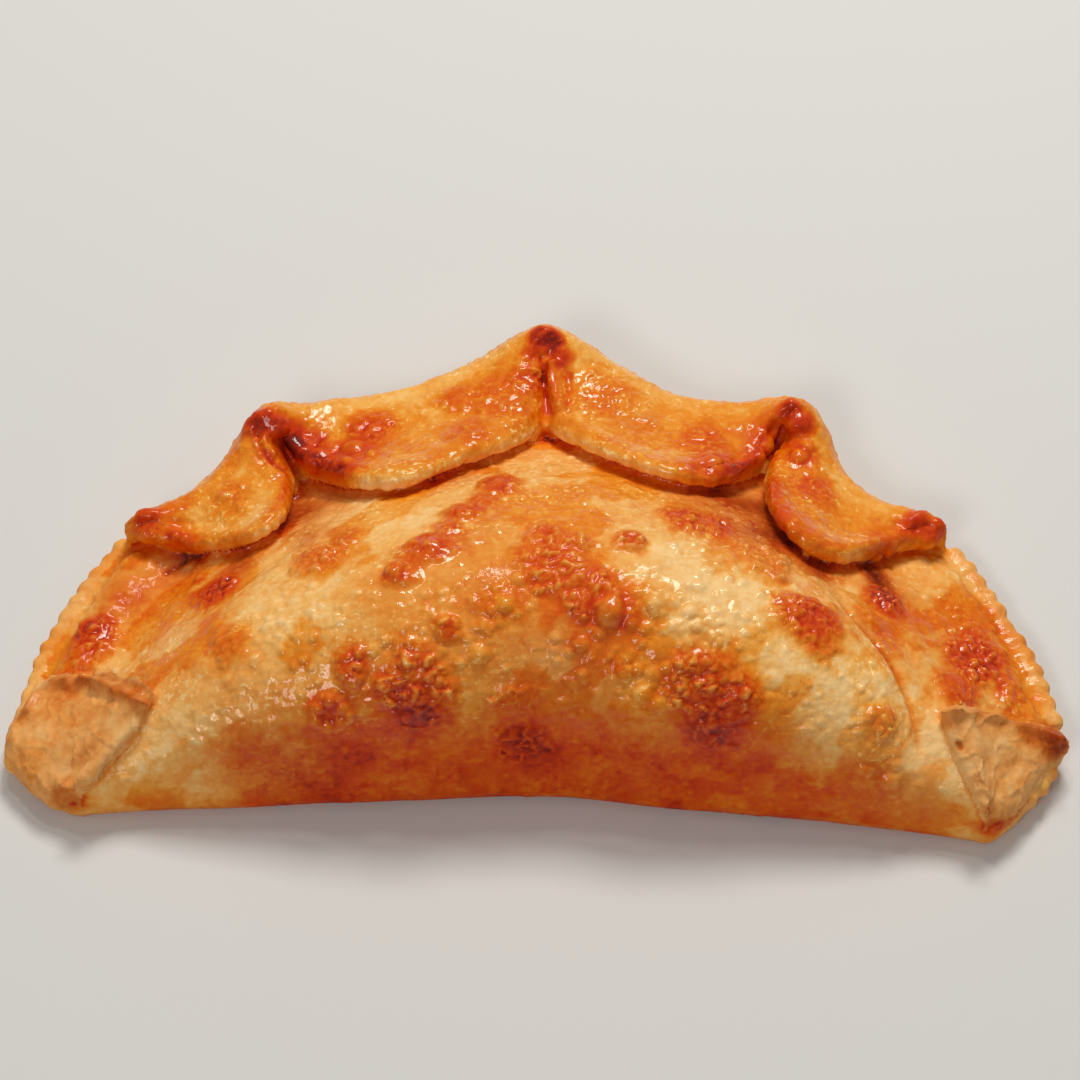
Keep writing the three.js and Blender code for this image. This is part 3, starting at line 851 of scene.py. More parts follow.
SPOTS: tuple[BrownSpot, ...] = (
    # the filled body
    *spots(
        Relief.WRINKLED, 0.35,
        (218, 588, 4.2, 0.72), (690, 520, 5.0, 0.56), (716, 524, 4.4, 0.58), (812, 617, 6.2, 0.60, 0.6),
        (887, 600, 3.8, 0.76), (972, 660, 6.6, 0.62),
    ),
    *spots(
        Relief.CRUMBLY, 0.35,
        (318, 560, 5.4, 0.42), (345, 540, 3.4, 0.44), (570, 548, 3.6, 0.40), (530, 556, 3.6, 0.40),
        (546, 538, 3.8, 0.48), (556, 568, 5.4, 0.53), (590, 592, 5.0, 0.54), (632, 541, 3.2, 0.50),
        (765, 560, 6.0, 0.34), (96, 636, 4.4, 0.68), (85, 655, 3.4, 0.46), (418, 674, 6.4, 0.50),
        (392, 690, 4.6, 0.56), (702, 684, 6.2, 0.52), (736, 696, 4.2, 0.56),
    ),
    *spots(
        Relief.LUMPY, 0.9,
        (498, 486, 4.2, 0.56), (466, 513, 3.8, 0.54, 0.8), (430, 546, 4.8, 0.57),
        (398, 574, 3.4, 0.50, 0.6), (447, 630, 2.8, 0.50, 0.7), (352, 668, 3.6, 0.52, 0.4),
        (880, 722, 3.6, 0.30, 0.6),
    ),
    *spots(
        Relief.FLAKY, 0.35,
        (483, 500, 3.2, 0.46), (449, 529, 3.4, 0.50), (413, 561, 3.0, 0.46), (958, 690, 4.6, 0.54),
        (414, 712, 5.8, 0.74), (524, 744, 5.6, 0.73, 0.5), (512, 704, 4.0, 0.50), (712, 722, 6.0, 0.74),
    ),
    *spots(Relief.RING, 0.2, (330, 714, 4.2, 0.60)),
    *spots(
        Relief.DOME, 0.0,
        (610, 612, 3.2, 0.50), (505, 604, 2.0, 0.30), (654, 604, 2.2, 0.12), (643, 694, 2.0, 0.20),
        (658, 704, 1.7, 0.20), (480, 654, 1.8, 0.20), (690, 612, 1.8, 0.15), (318, 708, 1.5, 0.50),
        (330, 700, 1.5, 0.50), (343, 708, 1.6, 0.50), (342, 722, 1.5, 0.50), (328, 728, 1.6, 0.50),
        (316, 720, 1.4, 0.50),
    ),
    *spots(
        Relief.BLISTERED, 0.35,
        (200, 580, 2.2, 0.50), (228, 642, 4.6, 0.38), (622, 611, 4.6, 0.54, 0.6), (500, 606, 4.6, 0.38),
        (870, 618, 3.0, 0.38), (1008, 690, 3.6, 0.44),
    ),
    *spots(Relief.SMOOTH, 0.35, (868, 790, 5.0, 0.46)),
    *spots(Relief.BLISTERED, 0.4, (655, 604, 4.0, 0.22), (640, 700, 3.6, 0.30, 0.3)),
    # the lobes
    *spots(
        Relief.FLAKY, 0.35,
        (372, 428, 5.4, 0.56), (460, 398, 4.6, 0.44), (500, 400, 6.0, 0.42), (470, 430, 5.0, 0.42),
        (527, 380, 3.6, 0.52), (610, 400, 6.4, 0.34), (640, 430, 6.0, 0.32), (705, 440, 5.0, 0.46),
        (232, 500, 5.0, 0.32), (815, 490, 4.6, 0.52),
    ),
    *spots(
        Relief.SMOOTH, 0.35,
        (350, 452, 5.0, 0.54), (312, 448, 4.4, 0.62), (718, 464, 5.0, 0.52), (762, 444, 3.6, 0.54),
        (166, 532, 3.0, 0.46), (800, 455, 3.6, 0.56), (885, 548, 4.0, 0.48),
    ),
    # caramelised tips
    *spots(
        Relief.SMOOTH, 0.0,
        (146, 522, 2.6, 0.68), (262, 422, 2.6, 0.76), (280, 430, 2.8, 0.72), (539, 335, 2.5, 0.78),
        (552, 341, 2.6, 0.86), (561, 358, 2.3, 0.70), (532, 352, 1.7, 0.58), (566, 376, 1.6, 0.56),
        (790, 411, 2.8, 0.76), (804, 424, 2.8, 0.72), (792, 440, 2.6, 0.62), (920, 524, 2.8, 0.70),
        (936, 532, 2.8, 0.66),
    ),
    # the corners
    *spots(
        Relief.SMOOTH, 0.0,
        (145, 706, 2.0, 0.36), (60, 690, 3.6, 0.44), (66, 800, 3.6, 0.50), (950, 716, 2.0, 0.36),
        (1062, 742, 3.4, 0.78), (1030, 733, 3.0, 0.54), (990, 830, 2.6, 0.50),
    ),
)

LINES: tuple[SurfaceLine, ...] = lines(
    # the caramelised rolls that run down from the tips
    (
        ((240, 440), (246, 426), (258, 416), (272, 415), (284, 424), (293, 442), (306, 460)),
        0.9, 1.5, 0.26, 2.4,
    ),
    (((284, 430), (300, 450), (326, 466), (360, 472)), 0.4, 2.0, 0.20, 3.0),
    (((258, 434), (264, 448), (276, 458)), 0.8, 1.4, 0.06, 1.6),
    (
        ((716, 474), (740, 464), (757, 448), (766, 432), (773, 414), (788, 405), (802, 412)),
        0.9, 1.3, 0.16, 2.0,
    ),
    (((133, 518), (146, 512), (158, 518), (170, 529), (188, 540), (208, 547)), 0.7, 1.3, 0.12, 1.8),
    (((894, 541), (908, 526), (922, 515), (936, 518), (944, 534)), 0.7, 1.4, 0.20, 2.2),
    (((533, 356), (538, 340), (549, 332), (560, 342), (567, 364)), 0.5, 1.5, 0.14, 2.4),
    # the pinched seams and the thin folds beside them; the dark tone along the sunk seams and creases is
    # painted shade
    (((541, 352), (544, 376), (546, 396), (547, 414)), -0.8, 0.45, 0.42, 0.5, 0.10),
    (((551, 358), (554, 384), (561, 412)), 1.5, 1.3, 0.20, 1.4),
    (((567, 364), (569, 388), (568, 414)), -0.7, 0.5, 0.26, 0.6),
    (((254, 426), (260, 446), (274, 462), (292, 472)), -1.1, 0.5, 0.30, 0.7),
    (((246, 430), (253, 450), (268, 466)), -0.4, 0.5, 0.05, 0.8),
    (((280, 428), (300, 452), (330, 468), (365, 472)), 0.6, 1.8, 0.18, 2.4),
    (((786, 424), (777, 444), (768, 458)), -1.1, 0.5, 0.30, 0.7),
    (((690, 468), (728, 464), (760, 444), (778, 418)), -0.9, 1.0, 0.16, 1.5),
    (((700, 482), (738, 474), (766, 452)), 0.6, 1.5, 0.10, 1.6),
    # the rolled free edges of the outer lobes
    (((772, 470), (776, 505), (798, 532), (840, 548), (886, 540), (915, 522)), 0.3, 1.1, 0.08, 1.4),
    (((792, 470), (796, 498), (816, 520), (850, 530), (885, 522)), -0.4, 1.6),
    (((160, 533), (205, 544), (250, 532), (280, 508)), 0.2, 1.1, 0.10, 1.4),
    # where the filling ends on the right, with a fine dark line of painted shade in its crease
    (
        ((835, 588), (850, 612), (868, 632), (892, 661), (908, 692), (917, 722), (922, 770)),
        -0.8, 0.8, 0.22, 0.6,
    ),
    (((845, 590), (862, 612), (884, 634), (905, 665), (920, 700)), 0.5, 2.0),
    # the crack, darkened with painted shade, and the soft diagonal wrinkles on the left
    (((163, 575), (174, 568), (188, 560)), -0.6, 0.4, 0.26, 0.45),
    (((165, 625), (215, 598), (262, 566), (300, 540)), -0.45, 1.6),
    (((190, 655), (245, 628), (300, 590), (345, 575)), -0.35, 1.8),
    (((180, 600), (225, 570), (268, 545)), 0.35, 1.6),
    # the corner flaps: a crinkled cut edge with a groove behind it that holds painted shadow, soft wrinkles
    # and a rolled inner edge made paler with painted light
    (((46, 681), (72, 682), (98, 684), (124, 694), (156, 707)), 1.15, 0.9, 0.20, 1.1, 0.04, 1.0),
    # painted shadow in the groove behind the left cut edge
    (((50, 671), (76, 671), (102, 673), (130, 684), (160, 697)), -0.3, 0.6, 0.14, 0.8),
    (((52, 692), (80, 693), (104, 697), (128, 707)), -0.25, 0.8, -0.04, 0.8, 0.10, 0.8),
    (((942, 711), (972, 714), (1002, 720), (1034, 731), (1064, 741)), 0.95, 0.8, 0.14, 1.1, 0.04, 1.0),
    # painted shadow in the groove behind the right cut edge
    (((946, 702), (976, 704), (1006, 710), (1038, 720)), -0.2, 0.6, 0.10, 0.8),
    (((9, 744), (14, 728), (26, 710), (38, 692)), 0.8, 1.1, 0.08, 1.4, 0.04, 1.0),
    (((24, 716), (58, 706), (92, 708)), 0.35, 2.2),
    (((18, 752), (54, 742), (96, 726)), 0.3, 2.4),
    (((36, 784), (62, 770), (84, 748)), 0.25, 2.0),
    (((972, 742), (1006, 748), (1046, 752)), 0.3, 2.2),
    (((986, 778), (1016, 782), (1044, 774)), 0.25, 2.2),
    (((956, 742), (958, 746), (959, 750)), -0.7, 0.5, 0.4, 0.5, 0.05),
    # painted light on the left flap's rolled inner edge, which faces away from the key light
    (((148, 713), (120, 741), (96, 769), (78, 797)), 0.9, 1.3, -0.06, 1.8),
    (((130, 710), (104, 736), (80, 762), (64, 788)), -0.65, 1.2),
    (((958, 722), (970, 758), (984, 798), (994, 822)), -0.4, 1.2, 0.03, 0.9),
    # painted light on the right flap's rolled inner edge
    (((946, 722), (958, 760), (973, 798), (986, 826)), 0.5, 1.5, -0.10, 1.8),
)

# ---------------------------------------------------------------- the patterns of the baked skin


@dataclass(frozen=True)
class Pattern:
    """A layered noise of the baked skin: its size in mm, its seed, its layers and how it is stretched."""

    size: float
    seed: int
    layers: int = 3
    stretch: tuple[float, float, float] = (1.0, 1.0, 1.0)
    streaked: bool = False

    def at(self, place: np.ndarray) -> np.ndarray:
        """The pattern, from -1 to 1, at places; streaked patterns run along the streaks of egg wash."""
        turned = place @ STREAK_TURN if self.streaked else place
        return layered_noise(turned * self.stretch, self.size, self.seed, self.layers)


MOTTLE = Pattern(19.0, 71, stretch=(1.0, 1.25, 1.0))
STREAKS = Pattern(5.0, 79, stretch=(0.35, 1.0, 1.0), streaked=True)
BLOTCHES = Pattern(6.0, 73)
POOLED_WASH = Pattern(7.5, 121, 5, (0.6, 1.0, 1.0), streaked=True)
PALE_PATCHES = Pattern(4.6, 181, 4, (1.0, 1.0, 1.6))
DARK_FLECKS = Pattern(5.2, 183, 4)
CORNER_PATCHES = Pattern(3.2, 165)
CORNER_SPECKS = Pattern(1.1, 167, 1)
GILT = Pattern(4.5, 175)
SHINE = Pattern(13.0, 91, 2)
JUICE = Pattern(4.0, 151, 1)
SWELLS = Pattern(17.0, 3, 2)
RIPPLES = Pattern(6.0, 5, 1)
TEARS = Pattern(2.1, 131, 1)
SPOT_WARP = Pattern(5.0, 17, 4)
SPOT_FRAY = Pattern(1.9, 19, 2)
PEBBLED_AREAS = Pattern(11.0, 41, 2)
CRUMB_GRAIN = Pattern(0.9, 27, 1)
WRINKLED_AREAS = Pattern(9.0, 101, 2)
FILM_BEND = Pattern(2.0, 109, 1)
FINE_GRAIN = Pattern(1.8, 113, 2)
FLUTE_WANDER = Pattern(6.0, 117, 1)
CREPE = Pattern(1.3, 119, 1)
CORNER_GRAIN = Pattern(1.6, 173, 2)


@dataclass(frozen=True)
class Oven:
    """How dark the parts bake, from 0, pale, to 1, burnt, and how strongly each pattern shows in them; a few
    of them paint light and shade into the tone.
    """

    body: float = 0.22
    lobe: float = 0.24
    corner: float = 0.27
    lip: float = 0.20
    mottle: float = 0.07
    body_blotches: float = 0.05
    streaks: float = 0.07
    pooled_wash: float = 0.14
    low_side: float = 0.04
    low_front: float = 0.30
    pale_patches: float = 0.11
    dark_flecks: float = 0.05
    lobe_blotches: float = 0.13
    lobe_ridge: float = 0.10
    # a paler ridge: partly paler dough, partly a painted highlight where the ridge rolls over towards the
    # light
    lobe_nose: float = 0.10
    # a paler nose: partly unbrowned dough, partly painted light where the key light leaves the nose in shade
    lobe_band: float = 0.09
    left_lobe: float = 0.05
    corner_blotches: float = 0.10
    corner_patches: float = 0.12
    corner_specks: float = 0.06
    lip_blotches: float = 0.14
    underside: float = 0.20
    spot_blotches: float = 0.08
    # how strongly the relief is painted into the tone: painted shade in its hollows, painted light on its
    # tops, more of both where it is browned
    painted_relief_shade: float = 0.32
    painted_relief_shade_browned: float = 0.50


OVEN = Oven()


# ---------------------------------------------------------------- the crust


@dataclass
class Skin:
    """The crust's points while they are being modelled: places, normals and what the finish reads."""

    place: np.ndarray
    normal: np.ndarray
    part: np.ndarray
    along: np.ndarray
    around: np.ndarray
    slope: np.ndarray = field(init=False)
    tone: np.ndarray = field(init=False)
    browned: np.ndarray = field(init=False)
    brown_share: np.ndarray = field(init=False)
    grain: np.ndarray = field(init=False)
    crumb: np.ndarray = field(init=False)
    bare: np.ndarray = field(init=False)
    glaze: np.ndarray = field(init=False)
    flour: np.ndarray = field(init=False)

    def __post_init__(self) -> None:
        """Starts with nothing on the skin, and keeps the slope that the dough has before its relief."""
        self.slope = self.normal[:, 2].copy()
        for name in ("tone", "browned", "brown_share", "grain", "crumb", "bare", "glaze", "flour"):
            setattr(self, name, np.zeros(len(self.place)))

    def of(self, part: Part) -> np.ndarray:
        """1 where a point belongs to a part, else 0."""
        return (self.part == part.value).astype(float)

    def lift(self, height: np.ndarray) -> None:
        """Moves points out along their normals, less and less towards the underside, which stays flat."""
        held = smooth_step(0.2, 2.6, self.place[:, 2])
        self.place = self.place + self.normal * (height * held)[:, None]


@dataclass
class SpotRelief:
    """The relief inside one browned spot, on the skin's points that lie near its middle.

    away is each point's distance from the middle, as a share of the spot's radius.
    """

    spot: BrownSpot
    place: np.ndarray
    away: np.ndarray

    def height(self) -> np.ndarray | None:
        """The height at each point, or None where the spot has only scattered blisters."""
        kinds = {
            Relief.RING: self.ring,
            Relief.DOME: self.dome,
            Relief.WRINKLED: self.wrinkled,
            Relief.FLAKY: self.flaky,
            Relief.CRUMBLY: self.crumbly,
            Relief.LUMPY: self.lumpy,
        }
        kind = kinds.get(self.spot.relief)
        return kind() if kind else None

    def inside(self) -> np.ndarray:
        """1 inside the spot, falling to 0 over its edge."""
        return smooth_step(1.1, 0.6, self.away)

    def bent(self) -> np.ndarray:
        """The places moved about, so that no pattern of cells runs straight."""
        moves = [layered_noise(self.place, 1.8, seed, 2) for seed in (85, 86, 87)]
        return self.place + 0.75 * np.stack(moves, -1)

    def ring(self) -> np.ndarray:
        """An uneven ring."""
        return 0.8 * bell((self.away - 0.62) / 0.24) * (0.75 + 0.35 * value_noise(self.place, 1.6, 77))

    def dome(self) -> np.ndarray:
        """One round bubble."""
        return 0.55 * self.spot.radius * np.clip(1.0 - self.away**2, 0.0, 1.0)

    def wrinkled(self) -> np.ndarray:
        """Folds between creases."""
        near, second, ident = cell_noise(self.bent(), 2.3, 57)
        folds = np.clip((second - near) * 2.4, 0.0, 1.0) ** 0.6 * (0.35 + 0.65 * ident)
        creases = 0.3 * wrinkle_lines(self.place, 1.5, 59, 0.3)
        return (0.85 * folds + 1.2 * creases) * self.inside()

    def flaky(self) -> np.ndarray:
        """Thin lifted edges on a rough ground."""
        bent = self.bent()
        flakes = 0.42 * wrinkle_lines(bent, 1.7, 61, 0.35) + 0.3 * layered_noise(bent, 1.5, 67, 2)
        return flakes * self.inside()

    def crumbly(self) -> np.ndarray:
        """Crumbs of three sizes, broken up by cells."""
        bent = self.bent()
        sizes = ((3.4, 0.9, 63), (1.9, 1.1, 65), (1.1, 0.45, 67))
        lumps = sum(height * np.abs(value_noise(bent, size, seed)) ** 0.75 for size, height, seed in sizes)
        near, second, ident = cell_noise(bent, 2.1, 69)
        broken = (0.35 + 0.65 * ident) * (0.6 + 0.4 * smooth_step(0.0, 0.25, second - near))
        return (lumps - 0.08) * broken * self.inside()

    def lumpy(self) -> np.ndarray:
        """Round lumps with crumbs on them."""
        bent = self.bent()
        near, second, ident = cell_noise(bent, 3.3, 83)
        lumps = np.sqrt(np.clip(1.05 - near * 1.3, 0.0, 1.0)) * (0.15 + 0.85 * ident)
        lumps = lumps * (0.35 + 0.65 * smooth_step(0.0, 0.3, second - near))
        near, second, ident = cell_noise(bent, 1.6, 89)
        crumbs = np.clip(1.15 - near * 1.45, 0.0, 1.0) ** 0.7 * ident
        crumbs = crumbs * (0.4 + 0.6 * smooth_step(0.0, 0.2, second - near))
        return (1.2 * lumps + 0.6 * crumbs) * self.inside()


class CrustModel:
    """Builds the crust: shells, one skin over them, and the relief and tone on that skin."""

    def __init__(self, camera: StudioCamera, seed: int = 11) -> None:
        """Keeps the camera and lays out the folded dough.

        Args:
            camera: The camera whose pixels place the features.
            seed: Picks every random draw.
        """
        self.camera = camera
        self.random = np.random.default_rng(seed)
        self.body = FilledBody()
        self.rim = FoldedRim(self.body)
        self.left_corner = CornerFlap(
            self.body,
            ((-77.6, -4.8), (-83.9, -3.3), (-88.0, 0.0), (-91.5, 5.3), (-90.4, 12), (-86.6, 19.0)),
            ((-76.8, -3.8), (-74.6, -2.5), (-72.2, -0.1), (-69.4, 2.4), (-66.6, 5.8), (-64.8, 9.4)),
            5,
            bulge=3.0,
        )
        self.right_corner = CornerFlap(
            self.body,
            ((72.0, -10.2), (76.1, -8.1), (79.6, -4.4), (83.6, 0.9), (87.5, 5.3), (87.3, 7.6)),
            ((71.4, -9.1), (70.6, -7.8), (69, -5), (67.2, -1.4), (65.6, 2.6), (64.9, 6.8)),
            9,
            bulge=0.6,
            ragged=0.8,
            ridge_height=10.6,
            ridge_fall=2.6,
        )
        left = ((-75.8, 50), (-80.7, 41.8), (-85, 34), (-88.3, 25.6), (-90.6, 16.6), (-91.9, 8.4), (-91, 2))
        right = ((72.6, 48.2), (76.8, 41.2), (80.6, 33.2), (84.1, 24.5), (86.4, 16.4), (87.7, 10.6))
        lower_right = ((87.5, 5.8), (85.9, 1.4), (83.2, -2.3), (80.2, -5.6))
        self.lips = (FlutedLip(left, 1.0, 3), FlutedLip(right, -1.0, 4), FlutedLip(lower_right, -1.0, 6))

    def shells(self) -> list[Shell]:
        """Every shell of the folded dough."""
        folded = (self.body, self.rim, self.left_corner, self.right_corner, *self.lips)
        return [part.shell() for part in folded] + self.rim.knob_shells()

    def build(self) -> list[bpy.types.Object]:
        """The finished crust as its pieces."""
        shells = self.shells()
        points, faces = self.fused(shells)
        log.info("skin: %d points", len(points))
        skin = self.marked(points, faces, shells)
        self.model_folds(skin, faces)
        skin.place = relaxed(skin.place, faces, 1)
        skin.normal = point_normals(skin.place, faces)
        self.model_blisters(skin, faces)
        self.bake(skin)
        return self.pieces(skin, faces)

    def fused(self, shells: list[Shell]) -> tuple[np.ndarray, np.ndarray]:
        """One smooth closed skin of four-sided faces round all the shells, in the frame.

        Args:
            shells: The closed shells, which overlap.

        Returns:
            The points and the faces of the skin's largest connected part.
        """
        points, faces, start = [], [], 0
        for shell in shells:
            p, f = shell.triangles()
            points.append(p - PLAN_MIDDLE)
            faces.append(f + start)
            start += len(p)
        mesh = mesh_of("dough_shells", np.concatenate(points) * MM, np.concatenate(faces))
        body = bpy.data.objects.new("dough_shells", mesh)
        bpy.context.scene.collection.objects.link(body)
        remesh = body.modifiers.new("skin", "REMESH")
        remesh.mode = "VOXEL"
        remesh.voxel_size = VOXEL * MM
        graph = bpy.context.evaluated_depsgraph_get()
        skin = bpy.data.meshes.new_from_object(body.evaluated_get(graph))
        bpy.data.objects.remove(body)
        bpy.data.meshes.remove(mesh)
        place = np.zeros(len(skin.vertices) * 3, np.float32)
        skin.vertices.foreach_get("co", place)
        place = place.reshape(-1, 3).astype(float) / MM
        corner = np.zeros(len(skin.loops), np.int32)
        skin.loops.foreach_get("vertex_index", corner)
        bpy.data.meshes.remove(skin)
        place, quads = largest_part(place, corner.reshape(-1, 4).astype(np.int64))
        return relaxed(place, quads, SKIN_RELAXED), quads

    def marked(self, points: np.ndarray, faces: np.ndarray, shells: list[Shell]) -> Skin:
        """The skin with each point marked by the nearest point of the shells.

        Args:
            points: The skin's points, in the frame.
            faces: The skin's faces.
            shells: The shells that the skin was drawn over.

        Returns:
            The skin, in which the flaps also own what lies inside their outlines.
        """
        tree = search_tree(np.concatenate([shell.triangles()[0] for shell in shells]) - PLAN_MIDDLE)
        marks = np.concatenate([shell.marks() for shell in shells])
        nearest = marks[[tree.find(p)[1] for p in points]]
        part = nearest[:, 0]
        for flap in (self.left_corner, self.right_corner):
            above = (part == Part.BODY.value) & (points[:, 2] > FLAP_LEVEL)
            part = np.where(flap.covers(points + PLAN_MIDDLE) & above, Part.CORNER.value, part)
        part = np.where(points[:, 2] < UNDERSIDE_LEVEL, Part.BODY.value, part)
        return Skin(points, point_normals(points, faces), part, nearest[:, 1], nearest[:, 2])

    def seen(self, surface: BVHTree, pixel: Pixel) -> Vector | None:
        """Where a pixel's ray meets the skin, or None."""
        origin = Vector(self.camera.origin())
        return surface.ray_cast(origin, Vector(self.camera.ray(pixel)))[0]

    def model_folds(self, skin: Skin, faces: np.ndarray) -> None:
        """Raises the rolls and sinks the creases, and gives them and the washes their tone.

        Args:
            skin: The fresh skin, which this changes.
            faces: Its faces.
        """
        surface = BVHTree.FromPolygons(skin.place.tolist(), faces.tolist())
        tree = search_tree(skin.place)
        height = np.zeros(len(skin.place))
        facing = smooth_step(-0.05, 0.25, -(skin.normal @ self.camera.axes()[2]))
        for line in LINES:
            shares = np.linspace(0.0, 1.0, LINE_STEPS)
            reach = 2.2 * max(line.width, line.tone_width)
            away = np.full(len(skin.place), np.inf)
            share_at = np.zeros(len(skin.place))
            for share, pixel in zip(shares, catmull_rom(np.array(line.pixels, float), shares)):
                hit = self.seen(surface, tuple(pixel))
                for _, k, d in tree.find_range(hit, reach) if hit is not None else ():
                    if d < away[k]:
                        away[k] = d
                        share_at[k] = share
            ends = smooth_step(0.0, line.fade, share_at) * smooth_step(1.0, 1.0 - line.fade, share_at)
            ends *= facing
            near = away < reach
            torn = 1.0 + line.ragged * (1.5 * TEARS.at(skin.place[near]) - 0.1)
            height[near] += (line.lift * bell(away / line.width) * ends)[near] * torn
            skin.tone[near] += (line.tone * bell(away / line.tone_width) * ends)[near]
        for wash in WASHES:
            hit = self.seen(surface, wash.pixel)
            if hit is not None:
                share = bell(np.linalg.norm(skin.place - np.array(hit), axis=1) / wash.radius) * facing
                skin.tone += wash.tone * share
                skin.bare += wash.bare * share
        skin.lift(height + 0.45 * SWELLS.at(skin.place) + 0.16 * RIPPLES.at(skin.place))

    def model_blisters(self, skin: Skin, faces: np.ndarray) -> None:
        """Raises the browned spots, their blisters and the fine pebbling of the glazed skin.

        Args:
            skin: The skin with its folds, which this changes.
            faces: Its faces.
        """
        surface = BVHTree.FromPolygons(skin.place.tolist(), faces.tolist())
        tree = search_tree(skin.place)
        swell, rough, bumps, reached = (np.zeros(len(skin.place)) for _ in range(4))
        warp = 1.0 + 0.40 * SPOT_WARP.at(skin.place) + 0.26 * SPOT_FRAY.at(skin.place)
        for spot in SPOTS:
            hit = self.seen(surface, spot.pixel)
            if hit is None:
                log.warning("the spot at %s misses the crust", spot.pixel)
                continue
            found = tree.find_range(hit, 1.9 * spot.radius)
            index = np.array([k for _, k, _ in found])
            away = np.array([d for _, _, d in found]) * warp[index] / spot.radius
            inside = smooth_step(1.35, 0.45, away)
            skin.browned[index] += spot.tone * inside**2
            skin.brown_share[index] += inside**2
            reached[index] = np.maximum(reached[index], inside)
            swell[index] = np.maximum(swell[index], spot.swell * smooth_step(1.2, 0.2, away))
            relief = SpotRelief(spot, skin.place[index], away)
            height = relief.height()
            if height is None:
                self.blister_spot(spot, skin, tree, index[away < 0.85], bumps)
            else:
                bumps[index] = np.maximum(bumps[index], height)
            if spot.relief is Relief.CRUMBLY:
                rough[index] = np.maximum(rough[index], relief.inside())
        self.scatter_bubbles(skin, surface, tree, bumps)
        skin.browned /= np.maximum(skin.brown_share, 1e-6)
        skin.brown_share = reached
        fine = 0.14 * rough * CRUMB_GRAIN.at(skin.place)
        height = bumps + fine + self.pebbles(skin, rough) + self.crinkles(skin)
        skin.grain = height - smoothed(height, faces, GRAIN_ROUNDS)
        skin.crumb = rough * smooth_step(0.0, 0.22, skin.grain)
        skin.lift(swell + height - RELIEF_ROOM)

    def pebbles(self, skin: Skin, rough: np.ndarray) -> np.ndarray:
        """The height of the small grains all over the glazed skin, more of them where it is rough.

        Args:
            skin: The skin.
            rough: 1 where crumbs stand, else 0, one value a point.

        Returns:
            The height at each point.
        """
        near, _, ident = cell_noise(skin.place, 1.55, 23)
        pebble = np.clip(1.0 - near * 1.5, 0.0, 1.0) ** 1.2 * (0.3 + 0.7 * ident)
        glazed = 1.0 - 0.55 * skin.of(Part.CORNER) - 0.4 * skin.of(Part.LIP)
        height = 0.02 + 0.07 * smooth_step(-0.1, 0.6, PEBBLED_AREAS.at(skin.place)) + 0.06 * rough
        return height * pebble * glazed

    def crinkles(self, skin: Skin) -> np.ndarray:
        """The fine wrinkles and lifted films of the egg wash, and the flutes of the lobes' free edges.

        Args:
            skin: The skin.

        Returns:
            The height at each point.
        """
        place = skin.place
        turned = place @ STREAK_TURN
        rim, corner = skin.of(Part.RIM), skin.of(Part.CORNER)
        patchy = smooth_step(-0.35, 0.45, WRINKLED_AREAS.at(place))
        coarse = wrinkle_lines(turned * (0.55, 1.0, 1.0), 4.6, 103)
        fine = wrinkle_lines(place, 2.5, 107, 0.3)
        _, _, film = cell_noise(turned * (0.5, 1.0, 1.0) + 0.4 * FILM_BEND.at(place)[:, None], 3.2, 111)
        height = 0.13 * coarse * patchy + 0.08 * fine * (0.4 + 0.6 * patchy) + 0.11 * film * patchy
        height += 0.20 * patchy * (1.0 - rim) * np.abs(CREPE.at(place)) ** 0.7
        height += (0.05 + 0.10 * rim) * FINE_GRAIN.at(place)
        edge = rim * smooth_step(0.76, 0.82, skin.around) * smooth_step(0.98, 0.92, skin.around)
        lobe = skin.along * len(self.rim.edges)
        open_edge = smooth_step(0.10, 0.22, np.abs(lobe - np.round(lobe)))
        wander = skin.along + 0.004 * FLUTE_WANDER.at(place)
        height += 0.16 * edge * open_edge * (np.abs(np.sin(EDGE_FLUTES * np.pi * wander)) - 0.5)
        crinkled = 0.30 * wrinkle_lines(place, 2.6, 171, 0.25) + 0.14 * CORNER_GRAIN.at(place)
        return height * (1.0 + 0.5 * rim - 0.4 * corner) + corner * crinkled

    def blister_spot(
        self, spot: BrownSpot, skin: Skin, tree: KDTree, core: np.ndarray, bumps: np.ndarray
    ) -> None:
        """Raises blisters in the core of a blistered spot, and fewer but larger ones in a smooth one.

        Args:
            spot: The spot.
            skin: The skin that carries it.
            tree: The search tree of its points.
            core: The points near the spot's middle.
            bumps: The heights so far, which this raises.
        """
        big = spot.relief is Relief.SMOOTH
        wanted = max(1, round((0.16 if big else 0.5) * spot.radius**2)) if spot.swell > 0.0 else 0
        self.raise_domes(skin, tree, core, wanted, (1.3, 2.4) if big else (0.8, 1.6), BUBBLE_RISE, bumps)

    def scatter_bubbles(self, skin: Skin, surface: BVHTree, tree: KDTree, bumps: np.ndarray) -> None:
        """Raises the small pale bubbles that lie all over the top, then the groups of larger ones.

        Args:
            skin: The skin.
            surface: Its faces, for the camera's rays.
            tree: The search tree of its points.
            bumps: The heights so far, which this raises.
        """
        top = np.flatnonzero((skin.normal[:, 2] > 0.15) & (skin.place[:, 2] > 4.0))
        body = top[skin.part[top] == Part.BODY.value]
        rim = top[skin.part[top] == Part.RIM.value]
        scattered = (
            (body, 650, (0.45, 1.0), 0.28),
            (body, 110, (1.5, 2.8), 0.15),
            (body, 40, (1.2, 2.1), 0.20),
            (rim, 420, (0.45, 0.95), 0.30),
        )
        for allowed, count, sizes, rise in scattered:
            self.raise_domes(skin, tree, allowed, count, sizes, rise, bumps)
        for group in BUBBLINGS:
            hit = self.seen(surface, group.pixel)
            if hit is not None:
                near = np.array([k for _, k, _ in tree.find_range(hit, group.radius)])
                self.raise_domes(skin, tree, near, group.count, (0.7, group.largest), BUBBLE_RISE, bumps)

